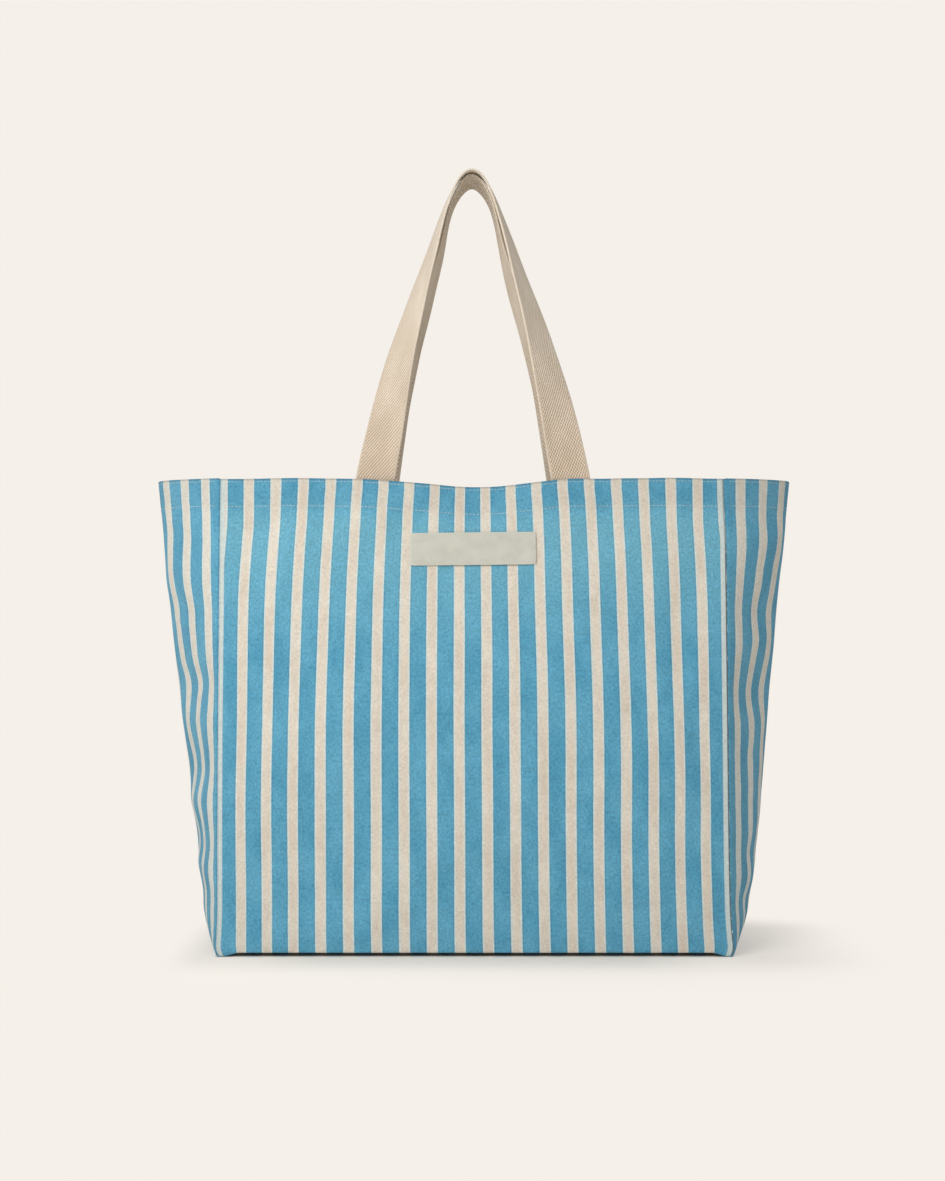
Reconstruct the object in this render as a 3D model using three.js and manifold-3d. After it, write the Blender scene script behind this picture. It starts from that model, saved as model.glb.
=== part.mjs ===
// A large open tote bag of striped canvas. Four walls and a base are seamed with their edges turned inside
// and bound with tape, the mouth has a turned hem, and two webbing handles are sewn to the inside of the hem.
// Millimetres, +Z up. X runs across the front, -Y is the front, and the origin is the middle of the base.

import * as THREE from "three";
import { mergeVertices } from "three/addons/utils/BufferGeometryUtils.js";
import Module from "manifold-3d";

const wasm = await Module();
wasm.setup();

// ---- Driving dimensions ----

// Cloth
const CLOTH = 1.0; // thickness of the canvas
const TAPE = 0.6; // thickness of the seam binding
const GAP = 0.3; // clearance between two pieces that touch
const ALLOWANCE = 10; // edge of a panel turned inside at a seam
const TAPE_COVER = 7.5; // how far the binding laps over that edge
const SEAM_SLANT = 60; // degrees between a turned edge and the front or back panel

// Body
const WIDTH = 478.5; // front panel, seam to seam
const FOOT_FLARE = 2; // the base holds each corner out by this much more at the floor
const HEIGHT = 447; // floor to the rim
const GUSSET = 175; // cut width of a side panel
const RIM_DIP = 8; // the rim sags this much between the handles
const DIP_REACH = 116; // from the middle to where the sag ends
const BELLY = 8; // the front and the back swell by this much, half way up
const BELLY_POWER = 4; // higher is flatter in the middle and rounder towards the seams
const RIM_BOW = 6; // between the handles the rim leans into the bag by this much
const BOW_REACH = 69; // from the middle to where that ends, clear of the handles
const BOW_DROP = 50; // below the rim, where the wall is straight again
const HEM = 27.5; // depth of the turned hem
const HEM_FOLD = 0.4; // space inside the hem's fold

// Gusset bulge: how far its middle stands out past the seams
const BULGE_AT_RIM = 66.8;
const BULGE_AT_FOOT = 22.3; // where the straight of the side would meet the floor
const FOOT_TUCK = 20; // the gusset curls in by this much at the floor
const FOOT_HEIGHT = 20; // height that the flare and the tuck fade over
const FOLD_POWER = 1.5; // 2 is a round bulge and 1 is a sharp crease, at the rim
const FLOOR_POWER = 2;
const CREASE_SOFTNESS = 0.1; // share of the half gusset that the crease is rounded over

// Handles
const WEB = 37; // width of the webbing
const WEB_THICKNESS = 2.2;
const WEB_EDGE = 0.5; // chamfer of the woven edge
const HANDLE_SPACING = 185.6; // between the two ends of a handle, middle to middle
const HANDLE_HEIGHT = 298; // rim to the top of the loop
const HANDLE_POWER = 1.68; // 2 is a parabola, and less gives straighter legs and a tighter top
const TWIST_POWER = 1.5; // above 1, the webbing turns faster near the rim
const TAIL_SHORT = 1; // the sewn end stops this far above the hem's edge

// Label
const LABEL_WIDTH = 119;
const LABEL_HEIGHT = 31;
const LABEL_THICKNESS = 0.8;
const LABEL_CORNER = 2;
const LABEL_DROP = 52.5; // from the rim to the label's top edge
const LABEL_TILT = 0.6; // degrees

// Facets
const WALL_LEVELS = 9; // bands between the foot and the leaning rim
const FOLD_STEPS = 4;
const BOW_STEPS = 4; // columns on each side of the middle of a sagging rim
const GUSSET_COLUMNS = 16;
const HANDLE_STEPS = 60;
const TOP_SPACING = 0.35; // steps at the tight top of a handle, as a share of the average
const ARC_SAMPLES = 64;

// ---- Derived sizes ----

const FOLD_RADIUS = (CLOTH + HEM_FOLD) / 2; // of the middle of the cloth, round the hem's fold
const FOLD_LEVEL = HEIGHT - CLOTH / 2 - FOLD_RADIUS; // height of the fold's centre line
const HEM_LEVEL = HEIGHT - HEM;
const SEAM_FOOT = ALLOWANCE + 2 * TAPE + 2 * GAP; // where the upright bindings start, above the base's
const SEAM_TOP = HEM_LEVEL - 2 * GAP;
const HANDLE_X = HANDLE_SPACING / 2;
const STRAP_INSET = 2 * FOLD_RADIUS + CLOTH / 2 + GAP + WEB_THICKNESS / 2;

// ---- Shape of the walls ----

const mix = (a, b, t) => a + (b - a) * t;
const radians = THREE.MathUtils.degToRad;

const footShare = (z) => Math.exp(-z / FOOT_HEIGHT);
const seamX = (z) => WIDTH / 2 + FOOT_FLARE * footShare(z);
const bulge = (z) => mix(BULGE_AT_FOOT, BULGE_AT_RIM, z / HEIGHT) - FOOT_TUCK * footShare(z);

// How far a gusset stands out at t, from -1 at its front seam over 0 at its crease to 1 at its back seam.
function standOut(t, z) {
  const power = mix(FLOOR_POWER, FOLD_POWER, z / HEIGHT) / 2;
  const soft = CREASE_SOFTNESS ** 2;
  const least = soft ** power;
  const rise = ((t * t + soft) ** power - least) / ((1 + soft) ** power - least);
  return bulge(z) * (1 - rise);
}

function gussetLength(depth, z) {
  let length = 0;
  for (let i = 0; i < ARC_SAMPLES; i++) {
    const a = i / ARC_SAMPLES;
    const b = (i + 1) / ARC_SAMPLES;
    length += 2 * Math.hypot(standOut(b, z) - standOut(a, z), (b - a) * depth);
  }
  return length;
}

// Half the bag's depth at a height: cloth doesn't stretch, so the further the gusset stands out, the nearer
// together it draws the front and the back.
function halfDepth(z) {
  let low = 0;
  let high = GUSSET / 2;
  for (let i = 0; i < 40; i++) {
    const middle = (low + high) / 2;
    if (gussetLength(middle, z) < GUSSET) low = middle;
    else high = middle;
  }
  return low;
}

// A smooth hump, 1 in the middle and 0 from the given reach on.
const hump = (x, reach) => (1 + Math.cos(Math.PI * Math.min(Math.abs(x) / reach, 1))) / 2;
const rimDrop = (x) => RIM_DIP * hump(x, DIP_REACH);
const rimBow = (x, z) => RIM_BOW * hump(x, BOW_REACH) * hump(HEIGHT - z, BOW_DROP);

function belly(x, z) {
  const across = 1 - Math.abs((2 * x) / WIDTH) ** BELLY_POWER;
  return BELLY * across * Math.sin(Math.PI * Math.min(z / HEM_LEVEL, 1));
}

// From the bag's middle to the front or back panel.
const panelDepth = (x, z) => halfDepth(z) + belly(x, z) - rimBow(x, z);

// ---- Closed solids ----

function closedGeometry(points, faces) {
  const positions = new Float32Array(points.flatMap((p) => [p.x, p.y, p.z]));
  const geometry = new THREE.BufferGeometry();
  geometry.setAttribute("position", new THREE.BufferAttribute(positions, 3));
  geometry.setIndex(faces);
  return facingOut(geometry);
}

function signedVolume(geometry) {
  const position = geometry.getAttribute("position");
  const index = geometry.getIndex();
  const corners = [new THREE.Vector3(), new THREE.Vector3(), new THREE.Vector3()];
  let volume = 0;
  for (let i = 0; i < index.count; i += 3) {
    corners.forEach((corner, k) => corner.fromBufferAttribute(position, index.getX(i + k)));
    volume += corners[0].dot(corners[1].clone().cross(corners[2])) / 6;
  }
  return volume;
}

function facingOut(geometry) {
  if (signedVolume(geometry) < 0) geometry.getIndex().array.reverse();
  return geometry;
}

// A solid between two grids of points, one on each face of a bent sheet.
function sheetSolid(front, back) {
  const rows = front.length;
  const columns = front[0].length;
  const points = [...front.flat(), ...back.flat()];
  const at = (side, row, column) => side * rows * columns + row * columns + column;
  const faces = [];
  const quad = (a, b, c, d) => faces.push(a, b, c, a, c, d);
  for (let r = 0; r + 1 < rows; r++) {
    for (let c = 0; c + 1 < columns; c++) {
      quad(at(0, r, c), at(0, r, c + 1), at(0, r + 1, c + 1), at(0, r + 1, c));
      quad(at(1, r, c), at(1, r + 1, c), at(1, r + 1, c + 1), at(1, r, c + 1));
    }
    quad(at(0, r, 0), at(0, r + 1, 0), at(1, r + 1, 0), at(1, r, 0));
    quad(at(0, r, columns - 1), at(1, r, columns - 1), at(1, r + 1, columns - 1), at(0, r + 1, columns - 1));
  }
  for (let c = 0; c + 1 < columns; c++) {
    quad(at(0, 0, c), at(1, 0, c), at(1, 0, c + 1), at(0, 0, c + 1));
    quad(at(0, rows - 1, c), at(0, rows - 1, c + 1), at(1, rows - 1, c + 1), at(1, rows - 1, c));
  }
  return closedGeometry(points, faces);
}

// A contour carried through a row of stations, each with an origin and two directions for the contour's axes.
function loft(contour, stations) {
  const count = contour.length;
  const points = stations.flatMap(({ origin, across, along }) =>
    contour.map((p) => origin.clone().addScaledVector(across, p.x).addScaledVector(along, p.y)),
  );
  const faces = [];
  for (let s = 0; s + 1 < stations.length; s++) {
    for (let i = 0; i < count; i++) {
      const a = s * count + i;
      const b = s * count + ((i + 1) % count);
      faces.push(a, b, b + count, a, b + count, a + count);
    }
  }
  const last = (stations.length - 1) * count;
  for (const [a, b, c] of THREE.ShapeUtils.triangulateShape(contour, [])) {
    faces.push(c, b, a, last + a, last + b, last + c);
  }
  return closedGeometry(points, faces);
}

function prism(shape, bottom, top) {
  const geometry = new THREE.ExtrudeGeometry(shape, { depth: top - bottom, bevelEnabled: false });
  return geometry.translate(0, 0, bottom);
}

function toManifold(geometry) {
  const bare = geometry.clone();
  bare.deleteAttribute("normal");
  bare.deleteAttribute("uv");
  const merged = mergeVertices(bare, 1e-4);
  const vertProperties = new Float32Array(merged.getAttribute("position").array);
  const triVerts = new Uint32Array(merged.getIndex().array);
  return new wasm.Manifold(new wasm.Mesh({ numProp: 3, vertProperties, triVerts }));
}

function toGeometry(solid) {
  const mesh = solid.getMesh();
  const geometry = new THREE.BufferGeometry();
  geometry.setAttribute("position", new THREE.BufferAttribute(new Float32Array(mesh.vertProperties), 3));
  geometry.setIndex(new THREE.BufferAttribute(new Uint32Array(mesh.triVerts), 1));
  return geometry;
}

function join(first, ...others) {
  const solid = others.reduce((sum, other) => sum.add(toManifold(other)), toManifold(first));
  return toGeometry(solid);
}

function cut(first, second) {
  return toGeometry(toManifold(first).subtract(toManifold(second)));
}

// ---- Walls ----

// The rows of a wall from the floor up: its outer layer, the fold at the rim, and the hem down inside. The
// cloth's own direction turns over with the fold.
function wallRows() {
  const rows = [0, SEAM_FOOT];
  const straight = HEIGHT - BOW_DROP;
  for (let i = 1; i <= WALL_LEVELS; i++) rows.push(mix(SEAM_FOOT, straight, (i / WALL_LEVELS) ** 1.2));
  rows.push(HEM_LEVEL);
  const layers = rows.map((level) => ({ level, inset: 0, turn: 0 }));
  for (let i = 0; i <= FOLD_STEPS; i++) {
    const turn = (Math.PI * i) / FOLD_STEPS;
    const level = FOLD_LEVEL + FOLD_RADIUS * Math.sin(turn);
    layers.push({ level, inset: FOLD_RADIUS * (1 - Math.cos(turn)), turn });
  }
  layers.push({ level: HEM_LEVEL, inset: 2 * FOLD_RADIUS, turn: Math.PI });
  return layers;
}

// A wall as a sheet. outline(column, z, inset) gives a point on the cloth in plan, and which way is out there.
function wall(columns, outline, drop) {
  const faces = [1, -1].map((side) =>
    wallRows().map(({ level, inset, turn }) =>
      columns.map((column) => {
        const z = level > SEAM_TOP ? level - drop(column) : level * (1 - drop(column) / HEIGHT);
        const { point, out } = outline(column, z, inset);
        const reach = (side * CLOTH * Math.cos(turn)) / 2 - inset;
        const rise = (side * CLOTH * Math.sin(turn)) / 2;
        return new THREE.Vector3(point.x + out.x * reach, point.y + out.y * reach, z + rise);
      }),
    ),
  );
  return sheetSolid(...faces);
}

// Where the panel and a gusset meet at a corner: the point on the panel's inner face, and the directions
// along the turned edges and across them. sideX is 1 on the right, and sideY is -1 at the front.
function cornerStation(sideX, sideY, z) {
  const slant = radians(SEAM_SLANT);
  const origin = new THREE.Vector3(sideX * seamX(z), sideY * (halfDepth(z) - CLOTH / 2), z);
  const along = new THREE.Vector3(-sideX * Math.cos(slant), -sideY * Math.sin(slant), 0);
  const across = new THREE.Vector3(sideX * Math.sin(slant), -sideY * Math.cos(slant), 0);
  return { origin, across, along };
}

function seamLevels() {
  const inner = wallRows().filter(({ level, turn }) => turn === 0 && level > SEAM_FOOT && level < SEAM_TOP);
  return [SEAM_FOOT, ...inner.map(({ level }) => level), SEAM_TOP];
}

function rectangle(left, right, bottom, top) {
  return [
    new THREE.Vector2(left, bottom),
    new THREE.Vector2(right, bottom),
    new THREE.Vector2(right, top),
    new THREE.Vector2(left, top),
  ];
}

// A turned edge. It lies on the panel's side of the seam, or with side 1 on the gusset's.
function turnedEdge(sideX, sideY, side) {
  const near = (side * GAP) / 2;
  const far = near + side * CLOTH;
  const root = side > 0 ? -0.6 * CLOTH : 0; // reaches into the gusset, which leaves the seam at a slant
  const contour = rectangle(Math.min(near, far), Math.max(near, far), root, ALLOWANCE);
  return loft(
    contour,
    seamLevels().map((z) => cornerStation(sideX, sideY, z)),
  );
}

function panelColumns() {
  const edge = WIDTH / 2;
  const right = [mix(BOW_REACH, DIP_REACH, 0.5), DIP_REACH];
  for (const share of [0.4, 0.75, 1]) right.push(mix(DIP_REACH, edge, share));
  const middle = [];
  for (let i = -BOW_STEPS; i <= BOW_STEPS; i++) middle.push((i / BOW_STEPS) * BOW_REACH);
  return [...right.map((x) => -x).reverse(), ...middle, ...right];
}

function panel(sideY) {
  const outline = (column, z) => {
    const x = (column / (WIDTH / 2)) * (seamX(z) - GAP / 2);
    const y = sideY * panelDepth(column, z);
    return { point: new THREE.Vector2(x, y), out: new THREE.Vector2(0, sideY) };
  };
  const cloth = wall(panelColumns(), outline, rimDrop);
  return join(cloth, turnedEdge(-1, sideY, -1), turnedEdge(1, sideY, -1));
}

function gusset(sideX) {
  const columns = [];
  for (let i = 0; i <= GUSSET_COLUMNS; i++) columns.push((2 * i) / GUSSET_COLUMNS - 1);
  const outline = (column, z, inset) => {
    const depth = halfDepth(z);
    const t = column * (1 - inset / depth); // the hem is mitred at the seams
    const step = 1e-3;
    const slope = (standOut(t + step, z) - standOut(t - step, z)) / (2 * step);
    const out = new THREE.Vector2(sideX * depth, -slope).normalize();
    const x = seamX(z) + (GAP + CLOTH) / 2 + standOut(t, z);
    return { point: new THREE.Vector2(sideX * x, t * depth), out };
  };
  const cloth = wall(columns, outline, () => 0);
  return join(cloth, turnedEdge(sideX, -1, 1), turnedEdge(sideX, 1, 1));
}

// ---- Bindings ----

function cornerBinding(sideX, sideY) {
  const inside = CLOTH + 1.5 * GAP;
  const outside = inside + TAPE;
  const foot = ALLOWANCE - TAPE_COVER;
  const bottom = ALLOWANCE + GAP;
  const contour = [
    new THREE.Vector2(-outside, foot),
    new THREE.Vector2(-inside, foot),
    new THREE.Vector2(-inside, bottom),
    new THREE.Vector2(inside, bottom),
    new THREE.Vector2(inside, foot),
    new THREE.Vector2(outside, foot),
    new THREE.Vector2(outside, bottom + TAPE),
    new THREE.Vector2(-outside, bottom + TAPE),
  ];
  return loft(
    contour,
    seamLevels().map((z) => cornerStation(sideX, sideY, z)),
  );
}

// The bag's outline on the floor, drawn in by a distance all round.
function footOutline(inset) {
  const steps = GUSSET_COLUMNS / 2;
  const depth = halfDepth(SEAM_FOOT) - inset;
  const slantAllowance = 1.05; // the ends slant, so they move a little further for the same distance
  const points = [];
  for (const side of [1, -1]) {
    for (let i = 0; i <= steps; i++) {
      const t = (2 * i) / steps - 1;
      const x = seamX(SEAM_FOOT) + standOut(t, 0) - slantAllowance * inset;
      points.push(new THREE.Vector2(side * x, side * t * depth));
    }
  }
  return points;
}

function ring(outer, inner) {
  const shape = new THREE.Shape(footOutline(outer));
  shape.holes.push(new THREE.Path(footOutline(inner)));
  return shape;
}

const BINDING_INSET = CLOTH / 2 + GAP; // from the middle of the walls to the binding's outer face
const BASE_INSET = BINDING_INSET + TAPE + GAP;

// The base, with its edge turned up inside the walls.
function basePanel() {
  const floor = prism(new THREE.Shape(footOutline(BASE_INSET + CLOTH / 2)), 0, CLOTH);
  const edge = prism(ring(BASE_INSET, BASE_INSET + CLOTH), 0, ALLOWANCE);
  return join(floor, edge);
}

// Tape folded over the base's turned-up edge.
function baseBinding() {
  const foot = ALLOWANCE - TAPE_COVER;
  const top = ALLOWANCE + GAP + TAPE;
  const whole = prism(ring(BINDING_INSET, BASE_INSET + CLOTH + GAP + TAPE), foot, top);
  const slot = prism(ring(BINDING_INSET + TAPE, BASE_INSET + CLOTH + GAP), foot - CLOTH, top - TAPE);
  return cut(whole, slot);
}

// ---- Handles ----

function strapContour() {
  const x = WEB / 2;
  const y = WEB_THICKNESS / 2;
  const c = WEB_EDGE;
  return [
    new THREE.Vector2(-x, c - y),
    new THREE.Vector2(c - x, -y),
    new THREE.Vector2(x - c, -y),
    new THREE.Vector2(x, c - y),
    new THREE.Vector2(x, y - c),
    new THREE.Vector2(x - c, y),
    new THREE.Vector2(c - x, y),
    new THREE.Vector2(-x, y - c),
  ];
}

// The middle of the webbing from its left end over the top to its right end. sideY is -1 for the front.
class HandleLine extends THREE.Curve {
  constructor(sideY) {
    super();
    this.sideY = sideY;
    this.arcLengthDivisions = 2000;
  }

  getPoint(t, target = new THREE.Vector3()) {
    const share = 2 * t - 1;
    const drop = Math.abs(share) ** HANDLE_POWER;
    const top = HEIGHT + HANDLE_HEIGHT - WEB_THICKNESS / 2;
    const foot = FOLD_LEVEL + GAP / 2;
    const rimY = halfDepth(FOLD_LEVEL) - STRAP_INSET;
    const topY = (WEB + GAP) / 2;
    return target.set(share * HANDLE_X, this.sideY * mix(topY, rimY, drop), mix(top, foot, drop));
  }
}

// At the rim the webbing's width lies across the bag. By the top it has turned a quarter turn, so that the
// outer edge lies against the other handle and the inner edge looks to the front or the back.
function strapStation(line, share) {
  const t = (share + 1) / 2;
  const origin = line.getPointAt(t);
  const tangent = line.getTangentAt(t);
  const inward = new THREE.Vector3(tangent.z, 0, -tangent.x).normalize();
  const turn = (Math.PI / 2) * (1 - Math.abs(share) ** TWIST_POWER);
  const across = inward.multiplyScalar(Math.cos(turn));
  across.y += line.sideY * Math.sin(turn);
  across.addScaledVector(tangent, -across.dot(tangent)).normalize();
  const along = new THREE.Vector3().crossVectors(tangent, across);
  return { origin, across, along };
}

// A level cut through a leg, below or at its lower end, where it is flat against the wall.
function levelStation(line, sideX, z) {
  const leg = line.getTangentAt(0);
  const fall = FOLD_LEVEL - z;
  const lean = (halfDepth(HEM_LEVEL) - halfDepth(FOLD_LEVEL)) / (FOLD_LEVEL - HEM_LEVEL);
  const x = sideX * (HANDLE_X + (fall * leg.x) / leg.z);
  const y = line.sideY * (halfDepth(FOLD_LEVEL) - STRAP_INSET + fall * lean);
  const across = new THREE.Vector3(-sideX * Math.hypot(1, leg.x / leg.z), 0, 0);
  return { origin: new THREE.Vector3(x, y, z), across, along: new THREE.Vector3(0, 1, 0) };
}

function handleLoop(sideY) {
  const line = new HandleLine(sideY);
  const stations = [levelStation(line, -1, FOLD_LEVEL + GAP / 2)];
  for (let i = 1; i < HANDLE_STEPS; i++) {
    const even = (2 * i) / HANDLE_STEPS - 1;
    stations.push(strapStation(line, even * mix(TOP_SPACING, 1, Math.abs(even))));
  }
  stations.push(levelStation(line, 1, FOLD_LEVEL + GAP / 2));
  return loft(strapContour(), stations);
}

// A handle's sewn end, in line with its leg, flat against the inside of the hem.
function handleTail(sideX, sideY) {
  const line = new HandleLine(sideY);
  const levels = [FOLD_LEVEL - GAP / 2, HEM_LEVEL + TAIL_SHORT];
  return loft(
    strapContour(),
    levels.map((z) => levelStation(line, sideX, z)),
  );
}

// ---- Label ----

function labelShape() {
  const x = LABEL_WIDTH / 2;
  const y = LABEL_HEIGHT / 2;
  const r = LABEL_CORNER;
  const shape = new THREE.Shape();
  shape.absarc(x - r, y - r, r, 0, Math.PI / 2);
  shape.absarc(r - x, y - r, r, Math.PI / 2, Math.PI);
  shape.absarc(r - x, r - y, r, Math.PI, 1.5 * Math.PI);
  shape.absarc(x - r, r - y, r, 1.5 * Math.PI, 2 * Math.PI);
  return shape;
}

// ---- Assembly ----

const canvas = { color: 0x66acce, roughness: 0.92, metalness: 0 };
const webbing = { color: 0xd9c9b4, roughness: 0.88, metalness: 0 };
const tape = { color: 0xd8cbb8, roughness: 0.9, metalness: 0 };
const labelCloth = { color: 0xdadbd0, roughness: 0.8, metalness: 0 };

const bag = new THREE.Group();

function add(name, geometry, finish) {
  const mesh = new THREE.Mesh(geometry, new THREE.MeshStandardMaterial(finish));
  mesh.name = name;
  bag.add(mesh);
  return mesh;
}

for (const [sideY, face] of [
  [-1, "front"],
  [1, "back"],
]) {
  add(`${face}_panel`, panel(sideY), canvas);
  for (const [sideX, hand] of [
    [-1, "left"],
    [1, "right"],
  ]) {
    add(`corner_binding_${face}_${hand}`, cornerBinding(sideX, sideY), tape);
    add(`${face}_handle_${hand}_end`, handleTail(sideX, sideY), webbing);
  }
  add(`${face}_handle`, handleLoop(sideY), webbing);
}
add("left_gusset", gusset(-1), canvas);
add("right_gusset", gusset(1), canvas);
add("base_panel", basePanel(), canvas);
add("base_binding", baseBinding(), tape);

const labelBottom = HEIGHT - LABEL_DROP - LABEL_HEIGHT;
const labelMiddle = labelBottom + LABEL_HEIGHT / 2;
const labelLean = (panelDepth(0, labelBottom) - panelDepth(0, labelBottom + LABEL_HEIGHT)) / LABEL_HEIGHT;
const labelGeometry = new THREE.ExtrudeGeometry(labelShape(), {
  depth: LABEL_THICKNESS,
  bevelEnabled: false,
  curveSegments: 3,
});
const label = add("label", labelGeometry, labelCloth);
label.rotation.set(Math.PI / 2 - Math.atan(labelLean), 0, radians(LABEL_TILT), "XZY");
label.position.set(0, -panelDepth(0, labelMiddle) - CLOTH / 2 - GAP, labelMiddle);

export default bag;
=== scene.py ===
"""Looks of a large open tote bag of striped canvas with two webbing handles.

Metres, in the frame of the part: +Z up, X across the front, -Y is the front, and the origin is the middle
of the base. Each wall is a sheet of cloth that knows where it was cut from, so its woven stripes follow
every fold.
"""

import math

import bmesh
import bpy
import numpy as np
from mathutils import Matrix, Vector


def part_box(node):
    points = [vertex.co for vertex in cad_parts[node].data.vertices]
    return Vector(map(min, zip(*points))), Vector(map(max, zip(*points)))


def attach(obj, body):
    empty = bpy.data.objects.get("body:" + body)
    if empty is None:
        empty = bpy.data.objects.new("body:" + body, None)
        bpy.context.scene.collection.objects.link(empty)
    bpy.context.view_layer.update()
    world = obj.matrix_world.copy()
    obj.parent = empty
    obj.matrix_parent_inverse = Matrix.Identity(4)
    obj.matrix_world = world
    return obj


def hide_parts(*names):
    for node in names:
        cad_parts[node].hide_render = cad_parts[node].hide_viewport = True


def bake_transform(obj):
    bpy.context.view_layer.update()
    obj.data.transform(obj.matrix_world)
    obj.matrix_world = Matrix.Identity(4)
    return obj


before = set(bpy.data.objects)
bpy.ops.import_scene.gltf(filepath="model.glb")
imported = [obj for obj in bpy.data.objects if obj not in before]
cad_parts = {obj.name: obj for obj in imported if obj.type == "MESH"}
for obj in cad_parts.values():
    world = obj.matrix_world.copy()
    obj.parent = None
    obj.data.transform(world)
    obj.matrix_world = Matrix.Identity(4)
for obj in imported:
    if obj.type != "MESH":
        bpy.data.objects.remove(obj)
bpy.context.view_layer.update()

TAU = 2 * math.pi

# ---- Sizes that repeat the CAD source ----

CLOTH = 0.001
TAPE = 0.0006
GAP = 0.0003
ALLOWANCE = 0.010
TAPE_COVER = 0.0075
SEAM_SLANT = math.radians(60)

WIDTH = 0.4785
FOOT_FLARE = 0.002
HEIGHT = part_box("front_panel")[1].z
GUSSET = 0.175
RIM_DIP = 0.0075
DIP_REACH = 0.116
BELLY = 0.008
BELLY_POWER = 4
RIM_BOW = 0.006
BOW_REACH = 0.069
BOW_DROP = 0.050
HEM = 0.0275
HEM_FOLD = 0.0004
FOLD_RADIUS = (CLOTH + HEM_FOLD) / 2
FOLD_LEVEL = HEIGHT - CLOTH / 2 - FOLD_RADIUS
HEM_LEVEL = HEIGHT - HEM
SEAM_FOOT = ALLOWANCE + 2 * TAPE + 2 * GAP
SEAM_TOP = HEM_LEVEL - 2 * GAP

BULGE_AT_RIM = 0.0668
BULGE_AT_FOOT = 0.0223
FOOT_TUCK = 0.020
FOOT_HEIGHT = 0.020
FOLD_POWER = 1.5
FLOOR_POWER = 2
CREASE_SOFTNESS = 0.1

WEB = 0.037
WEB_THICKNESS = 0.0022
HANDLE_X = 0.0928
TAIL_END = HEM_LEVEL + 0.001

LABEL_WIDTH = 0.119
LABEL_HEIGHT = 0.031
LABEL_THICKNESS = 0.0008
LABEL_CORNER = 0.002
LABEL_DROP = 0.0514
LABEL_TILT = math.radians(0.6)

# ---- The woven pattern ----

REPEAT = 0.0254  # from one blue stripe to the next, in the cloth
BLUE_HALF = 0.0075  # half a blue stripe
EDGE_STRIP = 0.0046  # pale selvedge next to the front and back seams

# ---- Shape of the walls ----


def mix(a, b, share):
    return a + (b - a) * share


def stacked(*axes):
    """Points, or flat coordinates, from one array for each axis."""
    return np.stack(np.broadcast_arrays(*axes), axis=-1)


def unit(vectors):
    return vectors / np.linalg.norm(vectors, axis=-1, keepdims=True)


def bell(x, half_width):
    return np.exp(-((x / half_width) ** 2))


def smooth(x, low, high):
    share = np.clip((x - low) / (high - low), 0, 1)
    return share * share * (3 - 2 * share)


def hump(x, reach):
    """1 in the middle, and 0 from the given reach on."""
    return (1 + np.cos(np.pi * np.minimum(np.abs(x) / reach, 1))) / 2


def foot_share(z):
    return np.exp(-z / FOOT_HEIGHT)


def seam_x(z):
    return WIDTH / 2 + FOOT_FLARE * foot_share(z)


def bulge(z):
    return mix(BULGE_AT_FOOT, BULGE_AT_RIM, z / HEIGHT) - FOOT_TUCK * foot_share(z)


def stand_out(t, z, power):
    """How far a gusset stands out, at t from -1 at one seam over 0 at its crease to 1 at the other."""
    power = power / 2
    soft = CREASE_SOFTNESS**2
    least = soft**power
    rise = ((t * t + soft) ** power - least) / ((1 + soft) ** power - least)
    return bulge(z) * (1 - rise)


def depth_table():
    """Half the bag's depth at a row of heights, where a gusset is as wide as it was cut."""
    levels = np.linspace(0, HEIGHT, 100)
    t = np.linspace(0, 1, 65)[:, None]
    low = np.zeros_like(levels)
    high = np.full_like(levels, GUSSET / 2)
    power = mix(FLOOR_POWER, FOLD_POWER, levels / HEIGHT)
    run = np.abs(np.diff(stand_out(t, levels[None, :], power), axis=0))
    for _ in range(30):
        middle = (low + high) / 2
        length = 2 * np.hypot(run, middle / (len(t) - 1)).sum(axis=0)
        low = np.where(length < GUSSET, middle, low)
        high = np.where(length < GUSSET, high, middle)
    return levels, low


DEPTH_LEVELS, DEPTHS = depth_table()


def half_depth(z):
    return np.interp(z, DEPTH_LEVELS, DEPTHS)


GUSSET_POWER_AT_FOOT = 2.0
GUSSET_POWER_AT_RIM = 1.8
GUSSET_FLATTER, FLAT_LEVEL, FLAT_REACH = 0.75, 0.24, 0.17  # how much of that goes half way up


def gusset_power(z):
    """A gusset is round at the floor and at the rim, and folds flatter half way up."""
    power = mix(GUSSET_POWER_AT_FOOT, GUSSET_POWER_AT_RIM, z / HEIGHT)
    return power - GUSSET_FLATTER * hump(z - FLAT_LEVEL, FLAT_REACH)


def belly(x, z):
    across = 1 - np.abs(2 * x / WIDTH) ** BELLY_POWER
    return BELLY * across * np.sin(np.pi * np.minimum(z / HEM_LEVEL, 1))


def panel_depth(x, z):
    return half_depth(z) + belly(x, z) - RIM_BOW * hump(x, BOW_REACH) * hump(HEIGHT - z, BOW_DROP)


def rim_drop(x):
    return RIM_DIP * hump(x, DIP_REACH)


FOOT_LIFT = 0.0034  # how far the front and back edges of the floor curl up
LIFT_REACH = 0.022  # and how far in from those edges
LIFT_ENDS = (0.219, 0.238)  # how far from the middle it dies away
LIFT_LEVELS = (0.001, 0.03)
CORNER_ROUND = 0.010  # height of the corners' rounding at the floor
CORNER_TUCK = 0.0042  # and how far it draws them in
CORNER_REACH = (0.215, 0.24)
FLARE = 0.0010  # how far the foot of each panel stands out beside its corners
FLARE_HEIGHT = 0.045
FLARE_FROM_LEFT, FLARE_FROM_RIGHT, FLARE_FULL = 0.215, 0.18, 0.24
FLARE_ENDS = (0.241, 0.262)
WHOLE_SHIFT = -0.0003  # sideways, of the whole bag
FOOT_SHIFT, FOOT_SHIFT_HEIGHT = 0.0019, 0.08  # of its foot
HEM_SHIFT = -0.0018  # of the right hand seams under the hem
HEM_SHIFT_LEVELS = (0.375, 0.435)
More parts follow.
